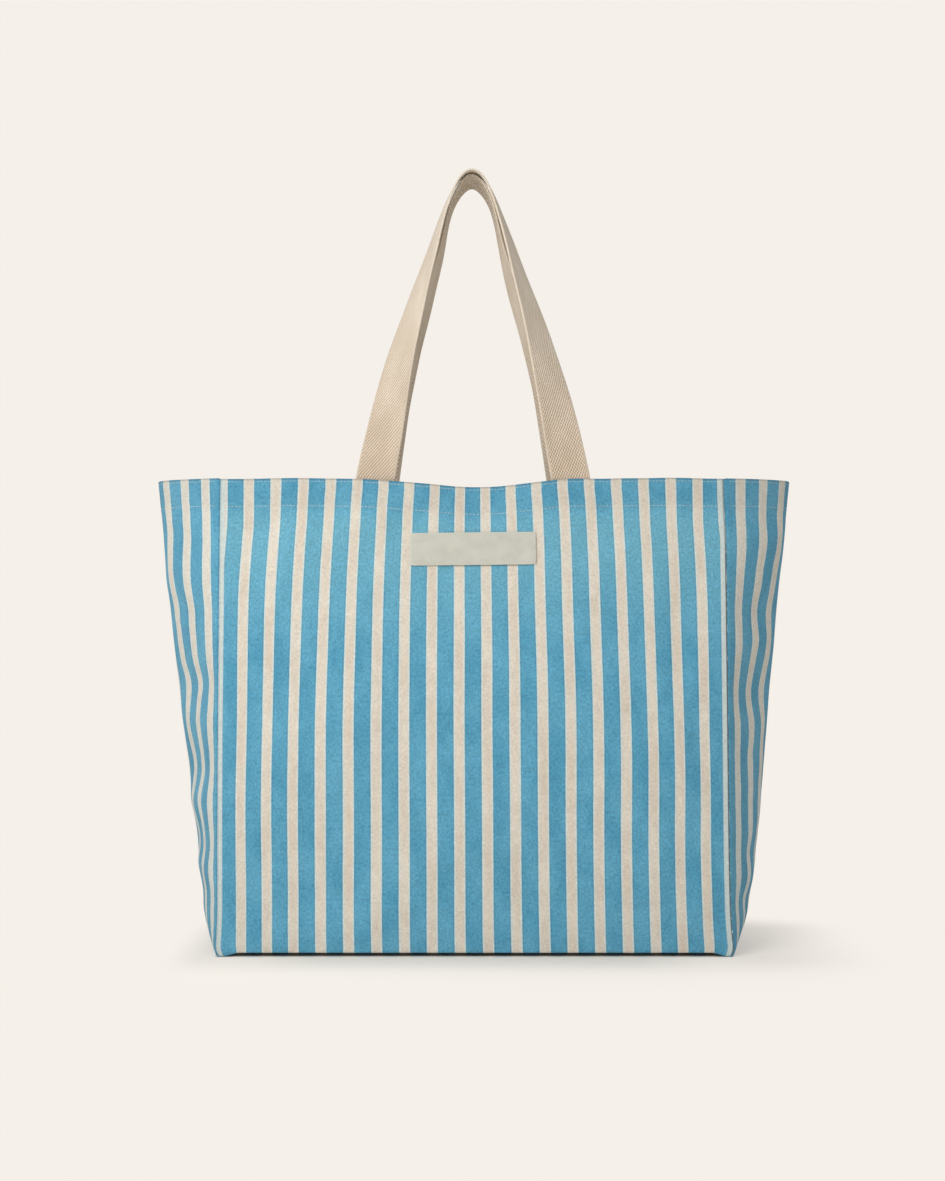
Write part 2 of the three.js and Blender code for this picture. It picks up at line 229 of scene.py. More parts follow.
HEM_SHIFT_X, HEM_SHIFT_REACH = 0.239, 0.026
GUSSET_REACH = (0.245, 0.275)  # where the gussets take up their own lean
GUSSET_LEAN, GUSSET_LEAN_TOP, GUSSET_LEAN_RUN = 0.0020, 0.36, 0.3  # of both gussets, low down
LEFT_LEAN = 0.0014  # of the left one besides, all the way up
LEFT_FOOT_LEAN, LEFT_FOOT_TOP, LEFT_FOOT_RUN = 0.0020, 0.26, 0.16  # and more of it near its foot


def settle(points):
    """How the sewn bag really stands: a little askew, with its foot sat out at the corners.

    Every piece of it goes through this, so all of them still meet. The front and back edges of the floor
    curl up off the ground between the corners.
    """
    x, y, z = points[..., 0], points[..., 1], points[..., 2]
    up = np.clip(z, 0, HEIGHT)
    reach = np.abs(x)
    side = np.sign(x)
    shift = WHOLE_SHIFT + FOOT_SHIFT * np.exp(-up / FOOT_SHIFT_HEIGHT)
    shift = shift + HEM_SHIFT * smooth(up, *HEM_SHIFT_LEVELS) * hump(x - HEM_SHIFT_X, HEM_SHIFT_REACH)
    lean = GUSSET_LEAN * smooth(GUSSET_LEAN_TOP - up, 0, GUSSET_LEAN_RUN)
    left_lean = LEFT_LEAN + LEFT_FOOT_LEAN * smooth(LEFT_FOOT_TOP - up, 0, LEFT_FOOT_RUN)
    lean = np.where(x < 0, lean + left_lean, lean)
    shift = shift + lean * smooth(reach, *GUSSET_REACH)
    flare = FLARE * (1 - smooth(up, 0, FLARE_HEIGHT))
    flare = flare * smooth(reach, np.where(x < 0, FLARE_FROM_LEFT, FLARE_FROM_RIGHT), FLARE_FULL)
    flare = flare * (1 - smooth(reach, *FLARE_ENDS))
    tuck = CORNER_TUCK * np.clip(1 - up / CORNER_ROUND, 0, 1) ** 2 * smooth(reach, *CORNER_REACH)
    lift = FOOT_LIFT * (1 - smooth(reach, *LIFT_ENDS)) * (1 - smooth(up, *LIFT_LEVELS))
    lift = lift * smooth(np.abs(y), half_depth(0.0) - LIFT_REACH, half_depth(0.0) - 0.001)
    return np.stack([x + shift + side * (flare - tuck), y, z + lift], axis=-1)


# ---- Unevenness ----


class Ripples:
    """Smooth random waves over a sheet, mostly between -1 and 1, the same on every run."""

    def __init__(self, seed, shortest, longest, count=26):
        draw = np.random.default_rng(seed)
        length = np.exp(draw.uniform(math.log(shortest), math.log(longest), count))
        angle = draw.uniform(0, TAU, count)
        self.across = np.cos(angle) * TAU / length
        self.along = np.sin(angle) * TAU / length
        self.phase = draw.uniform(0, TAU, count)
        self.size = length / longest
        self.size /= np.sqrt((self.size**2).sum())

    def __call__(self, a, b):
        a, b = np.broadcast_arrays(a, b)
        wave = np.sin(self.across * a[..., None] + self.along * b[..., None] + self.phase)
        return (wave * self.size).sum(axis=-1)


HEM_STITCH = 0.0263  # below the rim
EDGE_STITCH = 0.0030  # also below the rim
PUCKER_REACH = 0.007
PUCKER_LENGTH = 0.013
PUCKER = 0.0003
HEM_GROOVE, HEM_GROOVE_WIDTH = 0.00022, 0.0011
EDGE_GROOVE, EDGE_GROOVE_WIDTH = 0.00015, 0.0009
HEM_STEP = 0.0003


def sewn_relief(z, seam, ripple):
    """What the stitching does to a wall: puckers beside a seam, a groove under each row, a thicker hem."""
    pucker = PUCKER * np.sin(TAU * z / PUCKER_LENGTH + 3 * ripple) * np.exp(-seam / PUCKER_REACH)
    groove = HEM_GROOVE * bell(z - HEIGHT + HEM_STITCH, HEM_GROOVE_WIDTH)
    edge = EDGE_GROOVE * bell(z - HEIGHT + EDGE_STITCH, EDGE_GROOVE_WIDTH)
    hem = HEM_STEP * smooth(z, HEM_LEVEL - 0.003, HEM_LEVEL)
    return pucker * (1 - smooth(z, SEAM_TOP, HEM_LEVEL)) - groove - edge + hem


# Soft dents in the front, mostly under the hem: across, up, half width, half height, depth.
DENTS = [
    (-0.218, 0.384, 0.014, 0.018, 0.0026),
    (-0.194, 0.398, 0.012, 0.012, 0.0022),
    (-0.160, 0.388, 0.016, 0.024, -0.0022),
    (-0.072, 0.396, 0.012, 0.018, 0.0026),
    (0.112, 0.392, 0.020, 0.022, 0.0018),
    (0.192, 0.290, 0.014, 0.045, 0.0020),
    (0.214, 0.200, 0.012, 0.055, 0.0020),
    (0.196, 0.085, 0.016, 0.045, 0.0018),
    (0.215, 0.045, 0.012, 0.020, -0.0018),
    (-0.150, 0.050, 0.030, 0.030, 0.0014),
]
DENTS_DEEPER = 1.35


def dents(x, z):
    total = 0
    for across, up, half_width, half_height, depth in DENTS:
        total = total - depth * bell(x - across, half_width) * bell(z - up, half_height)
    return DENTS_DEEPER * total


# ---- Meshes ----


class Builder:
    """Gathers vertices, faces and flat-pattern coordinates for one mesh."""

    def __init__(self):
        self.points = []
        self.cloth = []
        self.trim = []
        self.faces = []
        self.count = 0

    def add(self, points, faces, cloth=None, trim=None):
        points = np.asarray(points, float).reshape(-1, 3)
        blank = np.zeros((len(points), 2))
        self.points.append(points)
        self.cloth.append(blank if cloth is None else cloth.reshape(-1, 2))
        self.trim.append(blank if trim is None else trim.reshape(-1, 2))
        self.faces.append(np.asarray(faces) + self.count)
        self.count += len(points)

    def build(self, name, material, sharp=math.radians(50)):
        mesh = bpy.data.meshes.new(name)
        faces = [tuple(int(i) for i in face) for block in self.faces for face in block]
        mesh.from_pydata(np.concatenate(self.points).tolist(), [], faces)
        corners = np.empty(len(mesh.loops), dtype=np.int64)
        mesh.loops.foreach_get("vertex_index", corners)
        for layer, values in (("cloth", self.cloth), ("trim", self.trim)):
            uv = mesh.uv_layers.new(name=layer)
            uv.data.foreach_set("uv", np.concatenate(values)[corners].ravel())
        mesh.polygons.foreach_set("use_smooth", np.ones(len(mesh.polygons), dtype=bool))
        mesh.set_sharp_from_angle(angle=sharp)
        mesh.materials.append(material)
        mesh.update()
        obj = bpy.data.objects.new(name, mesh)
        bpy.context.scene.collection.objects.link(obj)
        return obj


def grid_normals(points):
    return unit(np.cross(np.gradient(points, axis=1), np.gradient(points, axis=0)))


def sheet_faces(front, back, closed=False):
    """Faces of a thin solid, from the numbers of its points in a grid on either side."""

    def strip(a, b, c, d):
        return np.stack([a, b, c, d], axis=-1).reshape(-1, 4)

    faces = [
        strip(front[:-1, :-1], front[:-1, 1:], front[1:, 1:], front[1:, :-1]),
        strip(back[:-1, :-1], back[1:, :-1], back[1:, 1:], back[:-1, 1:]),
        strip(front[:-1, 0], front[1:, 0], back[1:, 0], back[:-1, 0]),
        strip(front[:-1, -1], back[:-1, -1], back[1:, -1], front[1:, -1]),
    ]
    if not closed:
        faces.append(strip(front[0, :-1], back[0, :-1], back[0, 1:], front[0, 1:]))
        faces.append(strip(front[-1, :-1], front[-1, 1:], back[-1, 1:], back[-1, :-1]))
    return np.concatenate(faces)


def tube_faces(ring):
    """Faces round a tube, from the numbers of its points, a row for each ring."""
    following = np.roll(ring, -1, axis=1)
    return np.stack([ring[:-1], following[:-1], following[1:], ring[1:]], axis=-1).reshape(-1, 4)


def add_sheet(builder, middle, cloth, trim=0.0, thickness=CLOTH, closed=False):
    """A thin closed solid round a grid of points. With closed, its last row joins its first."""
    middle = settle(middle)
    if closed:
        padded = np.concatenate([middle[-1:], middle, middle[:1]])
        normal = grid_normals(padded)[1:-1]
    else:
        normal = grid_normals(middle)
    points = np.stack([middle + normal * thickness / 2, middle - normal * thickness / 2])
    index = np.arange(points[..., 0].size).reshape(points.shape[:3])
    if closed:
        index = np.concatenate([index, index[:, :1]], axis=1)
    trim = np.broadcast_to(trim, cloth.shape)
    builder.add(points, sheet_faces(*index, closed), np.stack([cloth, cloth]), np.stack([trim, trim]))


def turned(points):
    """Half a turn about the vertical axis, for the back and the right."""
    return points * np.array([-1, -1, 1])


def facing(points, front):
    """Points as they are for the front and the left, and turned for the back and the right."""
    return points if front else turned(points)


# ---- Rows of a wall ----

FOOT_RADIUS = 0.0016
FLOOR_GAP = 0.0006  # height of the middle of the cloth that lies on the floor
UNDER = 0.0012  # how far a wall runs on under the bag before its seam


def wall_rows():
    """Height, inset and flat distance of each row, from under the bag over the rim to the hem's edge."""
    quarter = np.linspace(0, math.pi / 2, 6)
    half = np.linspace(0, math.pi, 9)
    start = FLOOR_GAP + FOOT_RADIUS
    main = np.linspace(start, HEM_LEVEL - 0.004, 100)[1:]
    hem = np.linspace(HEM_LEVEL - 0.002, FOLD_LEVEL, 22)
    down = np.linspace(FOLD_LEVEL, HEM_LEVEL, 14)[1:]
    level = np.concatenate([
        [FLOOR_GAP],
        start - FOOT_RADIUS * np.cos(quarter),
        main,
        hem[:-1],
        FOLD_LEVEL + FOLD_RADIUS * np.sin(half),
        down,
    ])
    inset = np.concatenate([
        [FOOT_RADIUS + UNDER],
        FOOT_RADIUS * (1 - np.sin(quarter)),
        np.zeros(len(main) + len(hem) - 1),
        FOLD_RADIUS * (1 - np.cos(half)),
        np.full(len(down), 2 * FOLD_RADIUS),
    ])
    flat = np.concatenate([[0], np.cumsum(np.hypot(np.diff(level), np.diff(inset)))])
    return level[:, None], inset[:, None], flat[:, None]


SEAM_CURL_REACH = 0.0016
SEAM_CURL_DEPTH = 0.0013


def seam_curl(distance):
    """How far a wall turns in over its last bit before a seam."""
    return SEAM_CURL_DEPTH * np.clip(1 - distance / SEAM_CURL_REACH, 0, 1) ** 2


END_STEPS = (0, 0.0004, 0.0008, 0.0013, 0.002, 0.003)


def dense_ends(half, spacing, steps=END_STEPS):
    """Columns from -half to half, closer together at both ends."""
    near = half - np.array(steps)
    middle = np.linspace(-near[-1], near[-1], int(2 * near[-1] / spacing))
    return np.concatenate([-near[:-1], middle, near[-2::-1]])


# ---- Front and back ----


FULL_PITCH = 0.02602  # of the stripes at the floor
RIM_PITCH = 0.0250  # and from FAN_TOP up
FAN_TOP = 0.405
FAN_POWER = 2.7
GATHERED, GATHER_REACH = 0.0026, 0.2  # what the rim gathers in at most, half way to this
GATHER_LEVEL, GATHER_FADE = 0.438, 0.022
EASED, EASED_POWER = 0.0051, 1.6  # what is fuller low down towards the seams
EASED_FROM, EASED_RUN, EASED_MOST = 0.15, 0.08, 1.2
EASED_TOP, EASED_FADE = 0.35, 0.17


def stripe_pitch(z):
    """The stripes fan out from the hem to the floor, because the cloth is a little fuller there."""
    return mix(FULL_PITCH, RIM_PITCH, (np.clip(z, 0, FAN_TOP) / FAN_TOP) ** FAN_POWER)


def stripes_across(x, z):
    """The flat coordinate across the cloth at a place on the front. The rim gathers it in the middle."""
    reach = np.abs(x)
    gathered = GATHERED * np.sin(np.pi * np.minimum(reach / GATHER_REACH, 1))
    gathered = gathered * np.minimum(np.exp((z - GATHER_LEVEL) / GATHER_FADE), 1)
    eased = EASED * np.clip((reach - EASED_FROM) / EASED_RUN, 0, EASED_MOST) ** EASED_POWER
    eased = eased * smooth(EASED_TOP - z, 0, EASED_FADE)
    return np.sign(x) * (reach + gathered + eased) * REPEAT / stripe_pitch(z)


LONG_WAVE = 0.0014
SHORT_WAVE = 0.0004
HEM_STIFFNESS = 0.6


def panel_relief(x, z, seam, waves, front):
    calm = smooth(z, 0.004, 0.05) * smooth(seam, 0, 0.03)
    stiff = 1 - HEM_STIFFNESS * smooth(z, HEM_LEVEL - 0.012, HEM_LEVEL)
    long_waves, short_waves = waves
    soft = LONG_WAVE * long_waves(x, z) + SHORT_WAVE * short_waves(x, z)
    if front:
        soft = soft + dents(x, z)
    return soft * calm * stiff + sewn_relief(z, seam, long_waves(x * 3, z * 3))


def panel_waves(seed):
    return Ripples(seed, 0.07, 0.24), Ripples(seed + 1, 0.018, 0.05)


FLARE_POWER = 16  # how close to its seams a panel takes up their flare at the foot
RIM_WAVE = 0.0005  # how unevenly the rim runs


def panel_surface(column, level, waves, front, inset=0.0):
    """A point on the middle of the front's cloth, for a column across and a height before the rim's dip."""
    reach = WIDTH / 2
    share = column / reach
    pulled = share * np.abs(share) ** FLARE_POWER
    x = column + pulled * (seam_x(level) - GAP / 2 - reach)
    seam = reach - np.abs(column)
    z = level - rim_drop(column) * np.minimum(level / HEM_LEVEL, 1)
    z = z + RIM_WAVE * smooth(level, 0.3, HEIGHT) * waves[0](x * 2 + 5, 0)
    out = panel_relief(x, level, seam, waves, front) - inset - seam_curl(seam)
    return stacked(x, -panel_depth(x, level) - out, z)


FRONT_WAVES = panel_waves(11)
BACK_WAVES = panel_waves(23)
LEVEL, INSET, FLAT = wall_rows()


def beside_seam(side_x, z, along, across):
    """Points along a front seam: so far in along its turned edge, and so far across that."""
    x = seam_x(z) - along * math.cos(SEAM_SLANT) + across * math.sin(SEAM_SLANT)
    depth = half_depth(z) - CLOTH / 2
    y = -depth + along * math.sin(SEAM_SLANT) + across * math.cos(SEAM_SLANT)
    points = stacked(side_x * x, y, z)
    return points if side_x > 0 else points[:, ::-1]


def seam_strip(side_x, side):
    """The turned edge beside a front seam, on the panel's side of it or with side 1 on the gusset's."""
    along = np.linspace(0, ALLOWANCE, 6)[None, :]
    return beside_seam(side_x, STRIP_LEVELS, along, side * (GAP + CLOTH) / 2)


STRIP_LEVELS = np.linspace(SEAM_FOOT, SEAM_TOP, 60)[:, None]
NO_TRIM = 0.1  # the distance that says that a seam or the rim is far away
STRIPE_WANDER = 0.0004  # how far the stripes stray


def make_panel(name, waves, front, material):
    builder = Builder()
    columns = dense_ends(WIDTH / 2, 0.004)[None, :]
    middle = panel_surface(columns, LEVEL, waves, front, INSET)
    x = middle[..., 0]
    uneven = STRIPE_WANDER * waves[0](x * 0.7, LEVEL * 0.7 + 2)
    cloth = stacked(stripes_across(x, LEVEL) + uneven, FLAT)
    trim = stacked(WIDTH / 2 - np.abs(columns), HEIGHT - LEVEL)
    add_sheet(builder, facing(middle, front), cloth, trim)
    for side_x in (-1, 1):
        strip = seam_strip(side_x, -1)
        reach = np.linspace(0, ALLOWANCE, strip.shape[1])[::side_x]
        flat = stacked(side_x * (stripes_across(seam_x(STRIP_LEVELS), STRIP_LEVELS) + reach), STRIP_LEVELS)
        add_sheet(builder, facing(strip, front), flat, NO_TRIM)
    return builder.build(name, material)


# ---- Gussets ----

GUSSET_PHASE = 0.00365  # middle of the first blue stripe, from the front seam
BLUE_DRAWN_IN = 0.0004  # the gussets' blue is a little narrower below the hem
LONG_GUSSET_WAVE = 0.0009
SHORT_GUSSET_WAVE = 0.0003
BACK_SHARE = 0.8  # of a gusset's waves, behind its crease
GUSSET_RIM_WAVE = 0.0004


class Gusset:
    """The left side panel. Its waves differ from the right one's, which is the same shape turned round."""

    def __init__(self, seed, shift, wave_tops):
        self.waves = panel_waves(seed)
        self.shift = shift  # how far the front seam cuts into the stripes lower down
        self.wave_tops = wave_tops

    def relief(self, t, z, seam):
        """Waves between the seams and the crease, stiffened by the hem and calm at the floor."""
        room = np.sin(np.pi * np.clip(np.abs(t), 0, 1)) ** 0.8
        swing = 0
        for top, half_height, size in self.wave_tops:
            swing = swing + size * bell(z - top, half_height)
        side = np.where(t > 0, 1.0, BACK_SHARE)
        long_waves, short_waves = self.waves
        soft = LONG_GUSSET_WAVE * long_waves(t * 0.08, z) + SHORT_GUSSET_WAVE * short_waves(t * 0.08, z)
        calm = smooth(z, 0.004, 0.04)
        return room * calm * (swing * side + soft) + sewn_relief(z, seam, long_waves(t * 0.2, z * 3))

    def surface(self, t, level, inset=0.0):
        depth = half_depth(level)
        t = t * (1 - inset / depth * smooth(level, HEM_LEVEL - 0.01, HEM_LEVEL))
        seam = (1 - np.abs(t)) * GUSSET / 2
        step = 1e-3
        power = gusset_power(level)
        slope = (stand_out(t + step, level, power) - stand_out(t - step, level, power)) / (2 * step)
        away = np.hypot(depth, slope)
        out = self.relief(t, level, seam) - inset - seam_curl(seam)
        x = seam_x(level) + (GAP + CLOTH) / 2 + stand_out(t, level, power) + out * depth / away
        y = t * depth - out * slope / away
        z = level + GUSSET_RIM_WAVE * self.waves[0](t * 0.1 + 3, 0) * smooth(level, 0.35, HEIGHT)
        return stacked(-x, -y, z)


def arc_lengths(points):
    steps = np.linalg.norm(np.diff(points, axis=1), axis=2)
    length = np.concatenate([np.zeros((len(points), 1)), np.cumsum(steps, axis=1)], axis=1)
    return length / length[:, -1:]


def make_gusset(name, gusset, right, material):
    builder = Builder()
    steps = np.array([*END_STEPS[:-1], 0.004]) / (GUSSET / 2)
    middle = gusset.surface(dense_ends(1, 0.045, steps)[None, :], LEVEL, INSET)
    from_back = arc_lengths(middle) * GUSSET
    from_front = from_back if right else GUSSET - from_back
    shift = gusset.shift * (1 - (np.clip(LEVEL, 0, HEIGHT) / HEIGHT) ** 3)
    across = from_front + shift - GUSSET_PHASE
    across = across + BLUE_DRAWN_IN * np.sin(TAU * across / REPEAT) * smooth(HEIGHT - LEVEL, 0, 0.15)
    seam = np.minimum(from_front, GUSSET - from_front)
    trim = stacked(-seam - 1e-5, HEIGHT - LEVEL)
    add_sheet(builder, facing(middle, not right), stacked(across, FLAT), trim)
    side_x = 1 if right else -1
    for strip in (seam_strip(side_x, 1), turned(seam_strip(-side_x, 1))):
        reach = np.linspace(0, ALLOWANCE, strip.shape[1])
        flat = stacked(GUSSET_PHASE - reach, STRIP_LEVELS)
        add_sheet(builder, strip, flat, NO_TRIM)
    return builder.build(name, material)


# Each wave of a gusset: the height of its top, half its height, and how far it stands out.
LEFT_WAVES = [
    (0.355, 0.026, 0.0050),
    (0.300, 0.026, 0.0017),
    (0.252, 0.016, -0.0036),
    (0.218, 0.014, 0.0022),
    (0.174, 0.018, -0.0042),
    (0.140, 0.014, 0.0024),
    (0.104, 0.018, -0.0034),
    (0.080, 0.012, 0.0016),
    (0.056, 0.014, -0.0026),
]
RIGHT_WAVES = [
    (0.388, 0.020, 0.0030),
    (0.326, 0.020, -0.0030),
    (0.290, 0.018, 0.0030),
    (0.244, 0.018, -0.0030),
    (0.212, 0.014, 0.0018),
    (0.093, 0.014, -0.0014),
    (0.072, 0.012, 0.0012),
    (0.048, 0.012, -0.0026),
]

LEFT = Gusset(37, 0.005, LEFT_WAVES)
RIGHT = Gusset(53, 0.001, RIGHT_WAVES)


# ---- Base ----

BASE_INSET = CLOTH / 2 + GAP + TAPE + GAP + CLOTH / 2
LOOP_STEPS = 22
SIDE_SHARE = 1.05  # an outline drawn in goes in a little more at the sides
BASE_CLEARANCE = 0.0008
BASE_WAVE, SHORT_BASE_WAVE = 0.0007, 0.0002


def foot_loop(inset):
    """The bag's outline near the floor, drawn in by a distance all round."""
    depth = half_depth(SEAM_FOOT) - inset
    t = np.linspace(-1, 1, LOOP_STEPS)
    x = seam_x(SEAM_FOOT) + stand_out(t, 0.0, FLOOR_POWER) - SIDE_SHARE * inset
    right = np.stack([x, t * depth], axis=-1)
    run = np.linspace(1, -1, 100)[1:-1]
    back = stacked(run * x[-1], depth)
    return np.concatenate([right, back, -right, -back])


def make_base(material):
    builder = Builder()
    long_waves, short_waves = panel_waves(71)
    across = np.linspace(-1, 1, 122)[None, :]
    painted_seam_shade = np.linspace(-1, 1, 44)[:, None]
    depth = half_depth(SEAM_FOOT) - BASE_INSET - BASE_CLEARANCE
    reach = seam_x(SEAM_FOOT) + stand_out(painted_seam_shade, 0.0, FLOOR_POWER)
    reach = reach - SIDE_SHARE * BASE_INSET - BASE_CLEARANCE
    x = across * reach
    y = painted_seam_shade * depth
    edge = np.minimum(reach - np.abs(x), depth - np.abs(y))
    lift = BASE_WAVE * (1 + long_waves(x, y)) + SHORT_BASE_WAVE * (1 + short_waves(x, y))
    z = FLOOR_GAP + np.maximum(lift, 0) * smooth(edge, 0.004, 0.04)
    stretch = REPEAT / stripe_pitch(0.0)
    add_sheet(builder, stacked(x, y, z), stacked(x * stretch, y), NO_TRIM)
    loops = [(0.0012, FLOOR_GAP), (0.0004, FLOOR_GAP + 0.0003), (0, FLOOR_GAP + 0.0011)]
    loops += [(0, z) for z in np.linspace(0.0025, ALLOWANCE, 5)]
    rim = np.stack([np.insert(foot_loop(BASE_INSET + inset), 2, z, axis=1) for inset, z in loops], axis=1)
    flat = stacked(rim[..., 0] * stretch, rim[..., 1] + rim[..., 2])
    add_sheet(builder, rim[:, ::-1], flat[:, ::-1], NO_TRIM, closed=True)
    return builder.build("base_cloth", material)


# ---- Bindings ----


def tape_contour(inside, top, foot):
    """The middle of a tape folded over an edge: across it, and along it towards the fold."""
    turn = np.linspace(math.pi, 0, 7)
    down = np.linspace(foot, top - inside, 4)[:-1]
    across = np.concatenate([np.full(3, -inside), inside * np.cos(turn), np.full(3, inside)])
    along = np.concatenate([down, top - inside + inside * np.sin(turn), down[::-1]])
    return across, along


TAPE_INSIDE = CLOTH + 1.5 * GAP + TAPE / 2
TAPE_CONTOUR = (ALLOWANCE + GAP + TAPE / 2, ALLOWANCE - TAPE_COVER)
TAPE_SEEN_WIDTH = 0.018
TAPE_WAVE = 0.0003
BASE_TAPE_LENGTH = 1.3


def corner_tape(side_x, levels):
    across, along = tape_contour(TAPE_INSIDE, *TAPE_CONTOUR)
    z = levels[:, None]
    ripple = Ripples(81, 0.03, 0.1)
    return beside_seam(side_x, z, along + TAPE_WAVE * ripple(z, 0) * (along > 0.004), across)


def make_corner_binding(name, side_x, front, material):
    builder = Builder()
    points = corner_tape(side_x if front else -side_x, np.linspace(SEAM_FOOT, SEAM_TOP, 100))
    points = facing(points, front)
    flat = stacked(arc_lengths(points) * TAPE_SEEN_WIDTH, points[..., 2])
    add_sheet(builder, points, flat, thickness=TAPE)
    return builder.build(name, material)


def make_base_binding(material):
    builder = Builder()
    ripple = Ripples(83, 0.03, 0.1)
    rows = []
    for offset, height in zip(*tape_contour(TAPE_INSIDE - CLOTH / 2, *TAPE_CONTOUR)):
        x, y = foot_loop(BASE_INSET + offset).T
        rows.append(stacked(x, y, height + TAPE_WAVE * ripple(x, y) * (height > 0.006)))
    points = np.stack(rows, axis=1)
    ring = np.linspace(0, BASE_TAPE_LENGTH, len(points))[:, None]
    flat = stacked(np.linspace(0, TAPE_SEEN_WIDTH, points.shape[1]), ring)
    add_sheet(builder, points, flat, thickness=TAPE, closed=True)
    return builder.build("base_binding_tape", material)


# ---- Handles ----


HANDLE_FOOT = FOLD_LEVEL + GAP / 2
WEB_WAVE, WAVE_FREE = 0.0006, 0.04  # how unevenly it runs, this far from its ends
CROWDING = 0.4  # how close together its cross-sections are at the top, against even ones
CUP_AT = 0.25  # share of the loop where its edges curl in most, and how far on either side they do
CUP_LEVEL = 0.4  # keeps the webbing's middle line about where it is
def interpolated(wanted, places, rows):
    """The rows' values at one or more places between the places they stand for."""
    return np.stack([np.interp(wanted, places, column) for column in rows.T], axis=-1)


class Handle:
    """The middle line of one handle, seen from its own face of the bag, and the way its webbing turns."""

    def __init__(self, top, power, pull, crown, lean, turn, twist_power, droop, cup=0.0):
        self.top = top  # how far in front of the bag's middle its top is, and how high
        self.power = power  # how round the loop is
        self.pull = pull  # how much straighter than that its legs are
        self.crown = crown  # how much rounder its very top is
        self.lean = lean  # sideways drift of the top
        self.turn = turn  # how far the webbing has turned at the top
        self.twist_power = twist_power
        self.droop = droop  # how far the turned edge hangs down
        self.cup = cup  # how much its two edges curl in near the top
        self.rim_y = half_depth(FOLD_LEVEL) - (2 * FOLD_RADIUS + CLOTH / 2 + GAP + WEB_THICKNESS / 2)
        self.line = self.point(np.linspace(-1, 1, 4001))
        steps = np.linalg.norm(np.diff(self.line, axis=0), axis=1)
        length = np.concatenate([[0], np.cumsum(steps)])
        self.share = length / length[-1] * 2 - 1
        self.length = length[-1]
        self.tangent = unit(np.gradient(self.line, self.share, axis=0))

    def point(self, share):
        drop = np.abs(share) ** self.power
        top_y, top_z = self.top
        x = share * HANDLE_X + self.lean * (1 - drop)
        x += self.crown * np.sin(3 * np.pi * share) - self.pull * np.sin(np.pi * share)
        return np.stack([x, -mix(top_y, self.rim_y, drop), mix(top_z, HANDLE_FOOT, drop)], axis=-1)

    def station(self, share):
        """Middle and width direction at a share of the loop, from -1 to 1."""
        middle = interpolated(share, self.share, self.line)
        tangent = unit(interpolated(share, self.share, self.tangent))
        inward = unit(np.array([tangent[2], 0, -tangent[0]]))
        turn = self.turn * (1 - abs(share) ** self.twist_power)
        turned_way = np.array([0, -math.cos(self.droop), -math.sin(self.droop)])
        across = inward * math.cos(turn) + turned_way * math.sin(turn)
        return middle, unit(across - tangent * across.dot(tangent))

    def tail(self, side_x, z):
        """A level cut through a leg, flat against the wall."""
        leg = self.tangent[0]
        fall = FOLD_LEVEL - z
        lean = (half_depth(HEM_LEVEL) - half_depth(FOLD_LEVEL)) / (FOLD_LEVEL - HEM_LEVEL)
        x = side_x * (HANDLE_X + fall * leg[0] / leg[2])
        middle = np.array([x, -(self.rim_y + fall * lean), z])
        return middle, np.array([-side_x * math.hypot(1, leg[0] / leg[2]), 0, 0])


SELVEDGE_IN = 0.0022  # from the webbing's edge to the raised line beside it
SELVEDGE_RISE, SELVEDGE_WIDTH = 0.00018, 0.0009


def web_contour():
    """The webbing's cross-section: across and through."""
    half = WEB / 2
    thick = WEB_THICKNESS / 2
    turn = np.linspace(-math.pi / 2, math.pi / 2, 7)
    flat = np.linspace(-half + thick, half - thick, 15)[1:-1]
    selvedge = SELVEDGE_RISE * bell(half - np.abs(flat) - SELVEDGE_IN, SELVEDGE_WIDTH)
    bottom = np.stack([flat, -thick + selvedge], axis=-1)
    right = np.stack([half - thick + thick * np.cos(turn), thick * np.sin(turn)], axis=-1)
    return np.concatenate([bottom, right, -bottom, -right])


def make_handle(name, handle, front, seed, material):
    ripple = Ripples(seed, 0.05, 0.2)
    contour = web_contour()
    half_length = handle.length / 2
    tail_levels = np.linspace(TAIL_END, HANDLE_FOOT, 9)
    stations = [(*handle.tail(-1, z), z - FOLD_LEVEL - half_length) for z in tail_levels]
    even = np.linspace(-1, 1, 281)[1:-1]
    for share in even * mix(CROWDING, 1, np.abs(even)):
        stations.append((*handle.station(share), share * half_length))
    stations += [(*handle.tail(1, z), half_length + FOLD_LEVEL - z) for z in tail_levels[::-1]]
    tangents = unit(np.gradient(np.array([middle for middle, _, _ in stations]), axis=0))
    rows, flats = [], []
    for (middle, across, along), tangent in zip(stations, tangents):
        if abs(along) > half_length:
            through = np.array([0, 1, 0])
        else:
            through = unit(np.cross(tangent, across))
            free = smooth(half_length - abs(along), 0, WAVE_FREE)
            middle = middle + through * WEB_WAVE * free * ripple(along, 0)
        curl = handle.cup * hump(abs(along) / half_length - CUP_AT, CUP_AT)
        cupped = curl * ((contour[:, :1] * 2 / WEB) ** 2 - CUP_LEVEL)
        rows.append(middle + contour[:, :1] * across + (contour[:, 1:] + cupped) * through)
        flats.append(stacked(contour[:, 0], along))
    points = settle(facing(np.array(rows), front))
    ring = np.arange(points[..., 0].size).reshape(-1, len(contour))
    builder = Builder()
    builder.add(points, tube_faces(ring), np.array(flats))
    obj = builder.build(name, material)
    close_ends(obj, ring[0][::-1], ring[-1])
    return obj


def close_ends(obj, first, last):
    """Caps a tube's two ends, and turns its faces to look out."""
    work = bmesh.new()
    work.from_mesh(obj.data)
    work.verts.ensure_lookup_table()
    for loop in (first, last):
        work.faces.new([work.verts[int(i)] for i in loop])
    bmesh.ops.recalc_face_normals(work, faces=work.faces)
    work.to_mesh(obj.data)
    work.free()


# ---- Stitches ----


